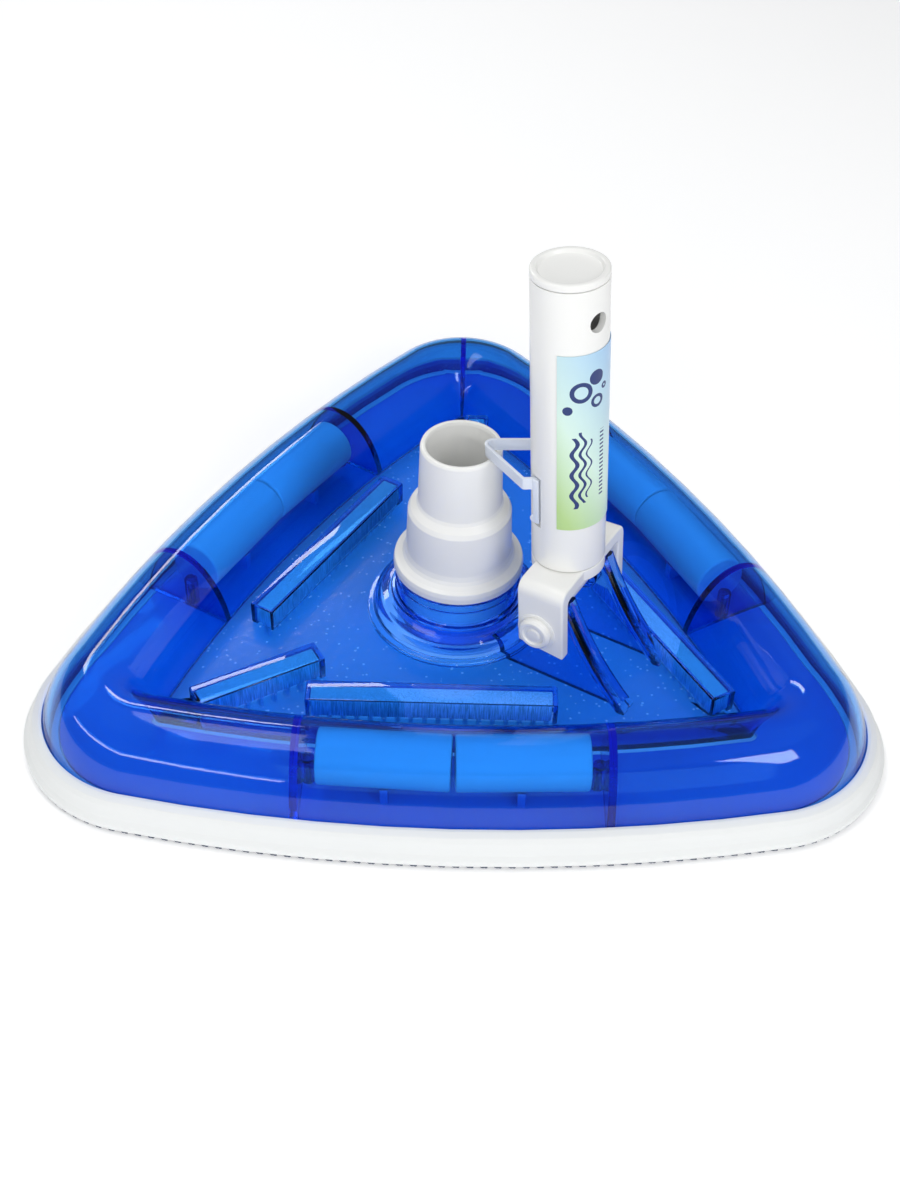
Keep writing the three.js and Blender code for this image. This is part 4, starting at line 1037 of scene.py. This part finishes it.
def base_perimeter(outward, pitch):
    """Evenly spaced places on a line round the base, each with the bearing it faces."""
    arcs = []
    corner_turn = FULL_TURN / 3 - 2 * SIDE_HALF_ANGLE
    for k in range(3):
        bearing = k * FULL_TURN / 3
        corner = Matrix.Rotation(bearing, 3, "Z") @ Vector((CORNER_REACH, 0, 0))
        start = bearing + SIDE_HALF_ANGLE - math.pi / 3
        arcs.append((corner, CORNER_RADIUS + outward, start, corner_turn))
        side = Matrix.Rotation(bearing + math.pi / 3, 3, "Z") @ Vector((-BOW_CENTRE, 0, 0))
        arcs.append(
            (side, SIDE_BOW_RADIUS + outward, start + corner_turn, 2 * SIDE_HALF_ANGLE)
        )
    total = sum(radius * turn for _, radius, _, turn in arcs)
    count = round(total / pitch)
    for i in range(count):
        distance = total * i / count
        for centre, radius, start, turn in arcs:
            if distance <= radius * turn:
                angle = start + distance / radius
                facing = Vector((math.cos(angle), math.sin(angle), 0))
                yield centre + facing * radius, angle
                break
            distance -= radius * turn


def add_tuft(bm, place, width, depth, low, high, splay=0.0):
    """Five tapered filament bundles that spread a little towards the floor."""
    for across, lean in ((-0.5, -0.1), (0.5, 0.12), (0, 0.02), (-0.25, 0.08), (0.28, -0.08)):
        spot = Matrix.Translation((lean * depth, across * width * 0.55, high))
        spot = spot @ Matrix.Rotation(-splay, 4, "Y") @ Matrix.Translation((0, 0, (low - high) / 2))
        bmesh.ops.create_cone(
            bm, cap_ends=True, segments=6, radius1=0.2 * width, radius2=0.27 * width,
            depth=high - low, matrix=place @ spot,
        )


class VACUUM_OT_ring_brush(bpy.types.Operator):
    """Build the ring of tufts under the bumper"""

    bl_idname = "vacuum.ring_brush"
    bl_label = "Brush Ring"

    def execute(self, context):
        settings = context.scene.vacuum_brush
        width = settings.tuft_width / MM
        band = softened([
            (3.4, 2.3, 0.1), (5.2, 2.3, 0.1), (5.2, 3.5, 0.2), (3.4, 3.5, 0.2)
        ], True, 3)
        bm = swept_round_base(band, closed=True, corner_steps=20, side_steps=8)
        for spot, angle in base_perimeter(4.3, settings.ring_pitch / MM):
            place = Matrix.Translation(spot) @ Matrix.Rotation(angle, 4, "Z")
            add_tuft(bm, place, width, 1.5, 0.15, 2.7, splay=math.radians(34))
        # painted shade: the near-black tufts stand for the shade under the bumper
        material = bristle_material("ring_bristle_shade", settings.ring_shade_colour)
        finished("tufted_ring", bm, IN_BASE, material, "base", ["ring_brush"])
        return {"FINISHED"}


class VACUUM_OT_brush_strips(bpy.types.Operator):
    """Build the brush strips that sit in the pockets of the plate"""

    bl_idname = "vacuum.brush_strips"
    bl_label = "Brush Strips"

    def execute(self, context):
        settings = context.scene.vacuum_brush
        material = bristle_material("strip_bristle", settings.strip_colour)
        pitch = settings.strip_pitch / MM
        for pocket, (degrees, outward, start, end) in POCKETS.items():
            bm = pocket_block(pocket, 6.8, -0.4, 9.9, 17.9, 0.5)
            count = int((end - start - 4) / pitch)
            for i in range(count + 1):
                along = start + 2 + (end - start - 4) * i / count
                for side in (-1, 1):
                    place = turn_z(degrees) @ shift(outward + side * 1.05, along, 0)
                    add_tuft(bm, place, 1.9, 1.0, 0.9, 10.2)
            finished(
                f"tufted_strip_{pocket}", bm, IN_BASE, material, "base",
                [f"brush_strip_{pocket}"],
            )
        return {"FINISHED"}


# ------------------------------------------------------------------ weights, base cover and screws
class VACUUM_OT_weights(bpy.types.Operator):
    """Build the two coated bars in each side of the ridge"""

    bl_idname = "vacuum.weights"
    bl_label = "Weights"

    def execute(self, context):
        settings = context.scene.vacuum_shell
        material = moulded_material(
            "coated_weight", settings.weight, 0.4, drift=0.08, spread=0.15, grain=1400.0,
            strength=0.1, coat_weight=0.3,
        )
        for side, degrees in SIDE_ANGLES.items():
            for letter, sign in (("a", -1), ("b", 1)):
                along = sign * WEIGHT_MIDDLE
                bar = rod(
                    WEIGHT_RADIUS, -WEIGHT_LENGTH / 2, WEIGHT_LENGTH / 2, 1.0, segments=96
                )
                tilt = math.degrees(math.asin(along / (SIDE_BOW_RADIUS - WEIGHT_INSET)))
                moved(bar, shift(0, 0, WEIGHT_Z), turn_z(tilt), along_y())
                on_side(bar, degrees, along)
                finished(
                    f"bar_weight_{side}_{letter}", bar, IN_BASE, material, "base",
                    [f"weight_{side}_{letter}"],
                )
        return {"FINISHED"}


class VACUUM_OT_base_cover(bpy.types.Operator):
    """Build the ring that closes the ridge from below, and its screws"""

    bl_idname = "vacuum.base_cover"
    bl_label = "Base Cover"

    def execute(self, context):
        shell = context.scene.vacuum_shell
        top = PLATE_BOTTOM - GAP
        inner = 2 * shell.ridge_half_width / MM - shell.wall / MM - 2
        band = swept_round_base(softened([
            (-6.95, COVER_FOOT, 0.3), (-6.95, top, 0.3), (-inner, top, 0.3),
            (-inner, COVER_FOOT, 0.3),
        ], True, 3), closed=True)
        saddles, seats, holes = [], [], []
        for degrees in SIDE_ANGLES.values():
            for sign in (-1, 1):
                along = sign * WEIGHT_MIDDLE
                x = bowed_line(WEIGHT_INSET, along)
                saddle = block(x - 8.4, x + 8.4, along - 1.5, along + 1.5, top - 0.5, 15.8, 0.3)
                saddles.append(moved(saddle, turn_z(degrees)))
                seat = rod(WEIGHT_RADIUS + 0.7, -6, 6, segments=72)
                moved(seat, shift(0, 0, WEIGHT_Z), along_y())
                seats.append(on_side(seat, degrees, along))
                hole = rod(SCREW_PILOT_RADIUS, 0, 12, segments=32)
                holes.append(on_side(hole, degrees, sign * SCREW_ALONG))
        material = moulded_material(
            "base_cover_plastic", shell.cover, 0.3, drift=0.1, coat_weight=0.4
        )
        finished("base_ring", combined(band, saddles, seats + holes), IN_BASE, material, "base",
                 ["base_cover"])
        steel = steel_material()
        foot = COVER_FOOT - GAP
        for side, degrees in SIDE_ANGLES.items():
            for letter, sign in (("a", -1), ("b", 1)):
                body = turned([
                    (0, foot - 1.3, 0), (1.9, foot - 1.3, 0.4), (2.7, foot - 0.5, 0.5),
                    (2.7, foot, 0), (1.1, foot, 0), (1.1, 15.2, 0.2), (0, 16.8, 0),
                ], 40)
                recess = [
                    block(-1.4, 1.4, -0.28, 0.28, foot - 2, foot - 0.6),
                    block(-0.28, 0.28, -1.4, 1.4, foot - 2, foot - 0.6),
                ]
                screw = on_side(combined(body, cut=recess), degrees, sign * SCREW_ALONG)
                finished(
                    f"cross_screw_{side}_{letter}", screw, IN_BASE, steel, "base",
                    [f"cover_screw_{side}_{letter}"],
                )
        return {"FINISHED"}


# ------------------------------------------------------------------ hose cuff
class VACUUM_OT_cuff(bpy.types.Operator):
    """Build the stepped hose cuff, its retaining ring and its seal"""

    bl_idname = "vacuum.cuff"
    bl_label = "Hose Cuff"

    def execute(self, context):
        cuff = turned([
            (18.3, 4.3, 0), (21.4, 4.3, 0.5), (21.4, 5.2, 0), (20.4, 5.2, 0), (20.4, 7.5, 0),
            (21.4, 7.5, 0), (21.4, 33.7, 0), (26.25, 33.7, 0.5), (26.3, 36.4, 0.3),
            (25.9, 38.4, 0.6), (24.4, 39.2, 0.8), (22.7, 40.4, 0.8), (21.9, 41.8, 0.8),
            (21.3, 44, 2), (20.6, 62.2, 0.9), (19.6, 64.1, 0.9), (17.2, 66.2, 0.7),
            (16.68, 67.6, 0.7), (15.9, 92.6, 0.3), (15.5, 93.6, 0.4), (14.8, 93.8, 0.3),
            (13.95, 93.6, 0.3), (13.55, 92.4, 0.4), (13.5, 63.6, 0.8), (18.3, 59, 1.5),
        ], 144, closed=True)
        finished("stepped_cuff", cuff, IN_BASE, white_plastic(), "cuff",
                 ["hose_cuff"])
        nylon = material_named(
            "ring_nylon", moulded_material, "ring_nylon", (0.76, 0.78, 0.84), 0.4
        )
        ring = turned([
            (20.8, 5.55, 0.3), (26, 5.55, 0.3), (26, 7.15, 0.3), (20.8, 7.15, 0.3)
        ], 144, closed=True, fillet_steps=3)
        ring = combined(ring, cut=[block(0, 40, -2, 2, 0, 12)])
        finished("split_ring", ring, IN_BASE, nylon, "cuff", ["cuff_retainer"])
        rubber = moulded_material(
            "black_rubber", (0.018, 0.018, 0.02), 0.6, drift=0.3, grain=1800.0, strength=0.3
        )
        seal = turned([
            (21.75, 32.35, 0.2), (24.9, 32.35, 0.3), (24.9, 33.35, 0.3), (21.75, 33.35, 0.2)
        ], 144, closed=True, fillet_steps=3)
        finished("neck_seal", seal, IN_BASE, rubber, "base", ["cuff_seal"])
        return {"FINISHED"}


# ------------------------------------------------------------------ handle
def fork_solid(rounding):
    """The yoke, drawn as it looks along X and then given its depth."""
    front = [
        (-EAR_OUTER, -11.5, 0), (-EAR_OUTER, 21.6, 5.5), (EAR_OUTER, 21.6, 5.5),
        (EAR_OUTER, -11.5, 0), (EAR_INNER, -11.5, 0), (EAR_INNER, 15.4, 2),
        (-EAR_INNER, 15.4, 2), (-EAR_INNER, -11.5, 0),
    ]
    fork = moved(plate_of(front, -11.2, 8.2, steps=8), turn_z(90))
    wedge = plate_of([(-10, -7.2, 0), (13, -11.1, 0), (13, -20, 0), (-10, -20, 0)], -40, 40)
    fork = combined(fork, cut=[wedge])
    bevelled(fork, rounding, 4)
    socket = turned([
        (0, 15.8, 0), (13.1, 15.8, 0.4), (14.1, 16.8, 0.4), (14.1, 21.6, 0.5), (11.15, 21.6, 0),
        (11.15, 33.6, 0.8), (10.2, 34.6, 0.4), (0, 34.6, 0),
    ], 96)
    ears = []
    for sign in (-1, 1):
        pad = rod(8.0, 0, 0.5, 0.3, segments=72)
        ears.append(moved(pad, shift(0, sign * (EAR_OUTER - 0.25), 0),
                          Matrix.Rotation(-sign * math.pi / 2, 4, "X")))
    hole = moved(rod(3.35, -40, 40), along_y())
    return combined(fork, [socket, *ears], [hole])


class VACUUM_OT_fork(bpy.types.Operator):
    """Build the fork, its pin and the pin's cap"""

    bl_idname = "vacuum.fork"
    bl_label = "Fork and Pin"

    def execute(self, context):
        rounding = context.scene.vacuum_handle.edge_round / MM
        white = white_plastic()
        finished("pivot_fork", fork_solid(rounding), IN_HANDLE, white, "handle",
                 ["yoke"])
        outer = EAR_OUTER + GAP
        pin = turned([
            (0, -outer, 0), (3, -outer, 0.3), (3, outer, 0), (6.6, outer, 0.2),
            (6.6, outer + 1.9, 0.6), (5.7, outer + 2.8, 0.4), (4.5, outer + 2.8, 0.3),
            (4.1, outer + 2.0, 0.3), (2.9, outer + 2.0, 0.3), (2.5, outer + 2.6, 0.3),
            (0, outer + 2.8, 0),
        ], 72)
        moved(pin, Matrix.Rotation(math.pi / 2, 4, "X"))
        finished("ringed_pin", pin, IN_HANDLE, white, "handle", ["pivot_pin"])
        cap = turned([
            (0, outer + GAP, 0), (6.6, outer + GAP, 0.2), (6.6, outer + 2.1, 0.6),
            (5.7, outer + 3.1, 0.5), (4.4, outer + 3.1, 0.3), (4.0, outer + 2.7, 0.3),
            (0, outer + 2.7, 0),
        ], 72)
        moved(cap, Matrix.Rotation(-math.pi / 2, 4, "X"))
        finished("pin_end_cap", cap, IN_HANDLE, white, "handle",
                 ["pivot_cap"])
        return {"FINISHED"}


class VACUUM_OT_tube(bpy.types.Operator):
    """Build the pole tube with its lock hole and slots, and the cap in its end"""

    bl_idname = "vacuum.tube"
    bl_label = "Tube and Cap"

    def execute(self, context):
        white = white_plastic()
        tube = turned([
            (TUBE_RADIUS - TUBE_WALL, TUBE_FOOT, 0.2), (TUBE_RADIUS, TUBE_FOOT, 0.5),
            (TUBE_TOP_RADIUS, TUBE_TOP, 0.2), (TUBE_TOP_RADIUS - TUBE_WALL, TUBE_TOP, 0.2),
        ], 144, closed=True)
        hole = moved(
            rod(3.75, -40, 40, segments=64), turn_z(-17), shift(0, 0, TUBE_TOP - 13.2),
            Matrix.Rotation(math.pi / 2, 4, "Y"),
        )
        slots = [
            block(-20, LEG_X + 2.2, sign * LEG_Y - 1.75, sign * LEG_Y + 1.75, 39.5, CLIP_TOP + 1)
            for sign in (-1, 1)
        ]
        tube = combined(tube, cut=[hole, *slots])
        finished("pole_tube", tube, IN_HANDLE, white, "handle",
                 ["handle_tube"])
        plug = TUBE_TOP_RADIUS - TUBE_WALL - GAP
        rim = TUBE_TOP + GAP
        top = rim + 2.6
        cap = turned([
            (0, TUBE_TOP - 1, 0), (plug - 2, TUBE_TOP - 1, 0.3), (plug - 2, TUBE_TOP - 9, 0),
            (plug, TUBE_TOP - 9, 0.5), (plug, rim, 0), (TUBE_TOP_RADIUS, rim, 0.3),
            (TUBE_TOP_RADIUS, top, 0.9), (11.7, top, 0.7), (10.9, top - 1.3, 0.6),
            (0, top - 1.5, 0),
        ], 144)
        finished("dished_cap", cap, IN_HANDLE, white, "handle", ["tube_cap"])
        return {"FINISHED"}


class VACUUM_OT_label(bpy.types.Operator):
    """Build the printed film on the tube"""

    bl_idname = "vacuum.label"
    bl_label = "Label"

    def execute(self, context):
        bm = bmesh.new()
        slope = (TUBE_TOP_RADIUS - TUBE_RADIUS) / (TUBE_TOP - TUBE_FOOT)
        top = LABEL_BOTTOM + LABEL_HEIGHT
        radii = [TUBE_RADIUS + slope * (z - TUBE_FOOT) + 0.14 for z in (LABEL_BOTTOM, top)]
        wire = chain(bm, [(radii[0], 0, LABEL_BOTTOM), (radii[1], 0, top)])
        bmesh.ops.rotate(
            bm, verts=bm.verts, cent=(0, 0, 0), matrix=Matrix.Rotation(LABEL_START, 3, "Z")
        )
        bmesh.ops.spin(
            bm, geom=wire, cent=(0, 0, 0), axis=(0, 0, 1), angle=LABEL_SWEEP, steps=56,
            use_merge=False,
        )
        bmesh.ops.recalc_face_normals(bm, faces=bm.faces)
        if sum(f.normal.dot(f.calc_center_median() * Vector((1, 1, 0))) for f in bm.faces) < 0:
            bmesh.ops.reverse_faces(bm, faces=bm.faces)
        chart = bm.loops.layers.uv.new("label")
        for face in bm.faces:
            for loop in face.loops:
                co = loop.vert.co
                turn = math.atan2(co.y, co.x) - LABEL_START
                loop[chart].uv = (turn * TUBE_RADIUS / LABEL_HEIGHT,
                                  (co.z - LABEL_BOTTOM) / LABEL_HEIGHT)
        bmesh.ops.solidify(bm, geom=list(bm.faces), thickness=-0.2)
        settings = context.scene.vacuum_handle
        finished("wrap_label", bm, IN_HANDLE, label_material(settings), "handle",
                 ["label"])
        return {"FINISHED"}


class VACUUM_OT_clip(bpy.types.Operator):
    """Build the V-shaped spring clip with its two legs"""

    bl_idname = "vacuum.clip"
    bl_label = "Pole Clip"

    def execute(self, context):
        half = CLIP_BAR / 2
        nose = -36.8 + half
        line = softened([
            (LEG_X, -LEG_Y, 0), (-11.4, -14.6, 1.2), (nose + 1.4, -2.6, 2.0), (nose, 0, 2.4),
            (nose + 1.4, 2.6, 2.0), (-11.4, 14.6, 1.2), (LEG_X, LEG_Y, 0),
        ], steps=6)
        bm = bmesh.new()
        low = CLIP_TOP - CLIP_DEPTH
        wire = chain(bm, [(p.x, p.y, low) for p in line])
        made = bmesh.ops.extrude_edge_only(
            bm, edges=[e for e in wire if isinstance(e, bmesh.types.BMEdge)]
        )
        raised = [v for v in made["geom"] if isinstance(v, bmesh.types.BMVert)]
        bmesh.ops.translate(bm, verts=raised, vec=(0, 0, CLIP_DEPTH))
        bmesh.ops.recalc_face_normals(bm, faces=bm.faces)
        bmesh.ops.solidify(bm, geom=list(bm.faces), thickness=half)
        outer = bm.copy()
        bm.free()
        bevelled(outer, 0.35, 3)
        legs = []
        for sign in (-1, 1):
            y = sign * LEG_Y
            legs.append(block(
                LEG_X - 1.2, LEG_X + 1.2, y - half, y + half, CLIP_TOP - 20, CLIP_TOP - 0.1, 0.35
            ))
            nub = rod(1.7, -half + 0.1, half - 0.1, 0.3, segments=32)
            legs.append(moved(nub, shift(LEG_X - 0.9, y, CLIP_TOP - 18.3), along_y()))
        bow = combined(outer, legs)
        nylon = material_named(
            "clip_nylon", moulded_material, "clip_nylon", context.scene.vacuum_handle.clip,
            0.3, coat_weight=0.2,
        )
        finished("spring_clip", bow, IN_HANDLE, nylon, "clip", ["pole_clip"])
        return {"FINISHED"}


# ------------------------------------------------------------------ stage
def area_light(name, place, aim, size, energy, reflected=True):
    data = bpy.data.lights.new(name, "AREA")
    data.shape = "RECTANGLE"
    data.size, data.size_y = size
    data.energy = energy
    lamp = bpy.data.objects.new(name, data)
    lamp.location = place
    direction = Vector(aim) - Vector(place)
    lamp.rotation_euler = direction.to_track_quat("-Z", "Y").to_euler()
    lamp.visible_glossy = reflected
    bpy.context.scene.collection.objects.link(lamp)
    return lamp


class VACUUM_OT_stage(bpy.types.Operator):
    """Set up the camera, the pale floor and the soft studio light"""

    bl_idname = "vacuum.stage"
    bl_label = "Studio Stage"

    def execute(self, context):
        scene = context.scene
        bm = bmesh.new()
        bmesh.ops.create_grid(bm, x_segments=1, y_segments=1, size=4)
        floor = mesh_object("studio_floor", bm)
        floor.location.z = -0.0002
        white = bpy.data.materials.new("floor_white")
        white.use_nodes = True
        paper = white.node_tree.nodes["Principled BSDF"]
        paper.inputs["Base Color"].default_value = (0.95, 0.95, 0.95, 1)
        paper.inputs["Emission Color"].default_value = (1, 1, 1, 1)
        paper.inputs["Emission Strength"].default_value = 0.22
        paper.inputs["Roughness"].default_value = 0.9
        floor.data.materials.append(white)

        data = bpy.data.cameras.new("studio_camera")
        data.sensor_width = 36
        data.lens = 48.06
        camera = bpy.data.objects.new("studio_camera", data)
        scene.collection.objects.link(camera)
        pitch, roll = math.radians(42.896), math.radians(1.32)
        heading = Vector((-0.5036, 0.8640, 0)).normalized()
        forward = heading * math.cos(pitch) - Vector((0, 0, math.sin(pitch)))
        right = Vector((heading.y, -heading.x, 0))
        up = right.cross(forward)
        turned_right = right * math.cos(roll) + up * math.sin(roll)
        turned_up = up * math.cos(roll) - right * math.sin(roll)
        turn = Matrix((turned_right, turned_up, -forward)).transposed()
        camera.matrix_world = Matrix.Translation((0.2165, -0.4236, 0.4661)) @ turn.to_4x4()
        scene.camera = camera

        world = bpy.data.worlds.new("studio_world")
        world.use_nodes = True
        background = world.node_tree.nodes["Background"]
        background.inputs["Color"].default_value = (0.93, 0.96, 1, 1)
        background.inputs["Strength"].default_value = 0.17
        scene.world = world
        centre = (0, 0, 0.03)
        area_light("overhead_fill", (0, 0, 1.6), centre, (2.4, 2.4), 12.5, reflected=False)
        area_light("front_fill", (1.0, -1.3, 0.85), centre, (1.6, 1.0), 11.5, reflected=False)
        area_light("key_window", (1.15, -0.35, 1.0), centre, (0.35, 0.45), 4)
        area_light("front_strip", (-0.45, -1.05, 0.42), centre, (1.6, 0.05), 2.0)
        area_light("overhead_band", (-0.3, -0.15, 1.05), centre, (0.9, 0.22), 1.6)
        area_light("rear_strip", (-0.9, 0.55, 0.8), centre, (0.7, 0.12), 2.4)
        scene.view_settings.view_transform = "Standard"
        scene.view_settings.look = "None"
        return {"FINISHED"}


# ------------------------------------------------------------------ panel and registration
PIECE_OPERATORS = (
    VACUUM_OT_shell,
    VACUUM_OT_bumper,
    VACUUM_OT_ring_brush,
    VACUUM_OT_brush_strips,
    VACUUM_OT_weights,
    VACUUM_OT_base_cover,
    VACUUM_OT_cuff,
    VACUUM_OT_fork,
    VACUUM_OT_tube,
    VACUUM_OT_label,
    VACUUM_OT_clip,
    VACUUM_OT_stage,
)
SETTINGS = {
    "vacuum_shell": ShellSettings,
    "vacuum_brush": BrushSettings,
    "vacuum_handle": HandleSettings,
}


class VACUUM_PT_panel(bpy.types.Panel):
    """Sizes, colours and buttons for each piece"""

    bl_label = "Pool Vacuum Head"
    bl_idname = "VACUUM_PT_panel"
    bl_space_type = "VIEW_3D"
    bl_region_type = "UI"
    bl_category = "Vacuum Head"

    def draw(self, context):
        for group, kind in SETTINGS.items():
            box = self.layout.box()
            box.label(text=kind.__name__)
            for setting in kind.__annotations__:
                box.prop(getattr(context.scene, group), setting)
        for operator in PIECE_OPERATORS:
            self.layout.operator(operator.bl_idname)


def register():
    for kind in (*SETTINGS.values(), *PIECE_OPERATORS, VACUUM_PT_panel):
        bpy.utils.register_class(kind)
    for group, kind in SETTINGS.items():
        setattr(bpy.types.Scene, group, bpy.props.PointerProperty(type=kind))


def unregister():
    for group in SETTINGS:
        delattr(bpy.types.Scene, group)
    for kind in reversed((*SETTINGS.values(), *PIECE_OPERATORS, VACUUM_PT_panel)):
        bpy.utils.unregister_class(kind)


def main():
    register()
    for operator in PIECE_OPERATORS:
        name = operator.bl_idname.split(".")[1]
        getattr(bpy.ops.vacuum, name)()


if __name__ == "__main__":
    main()
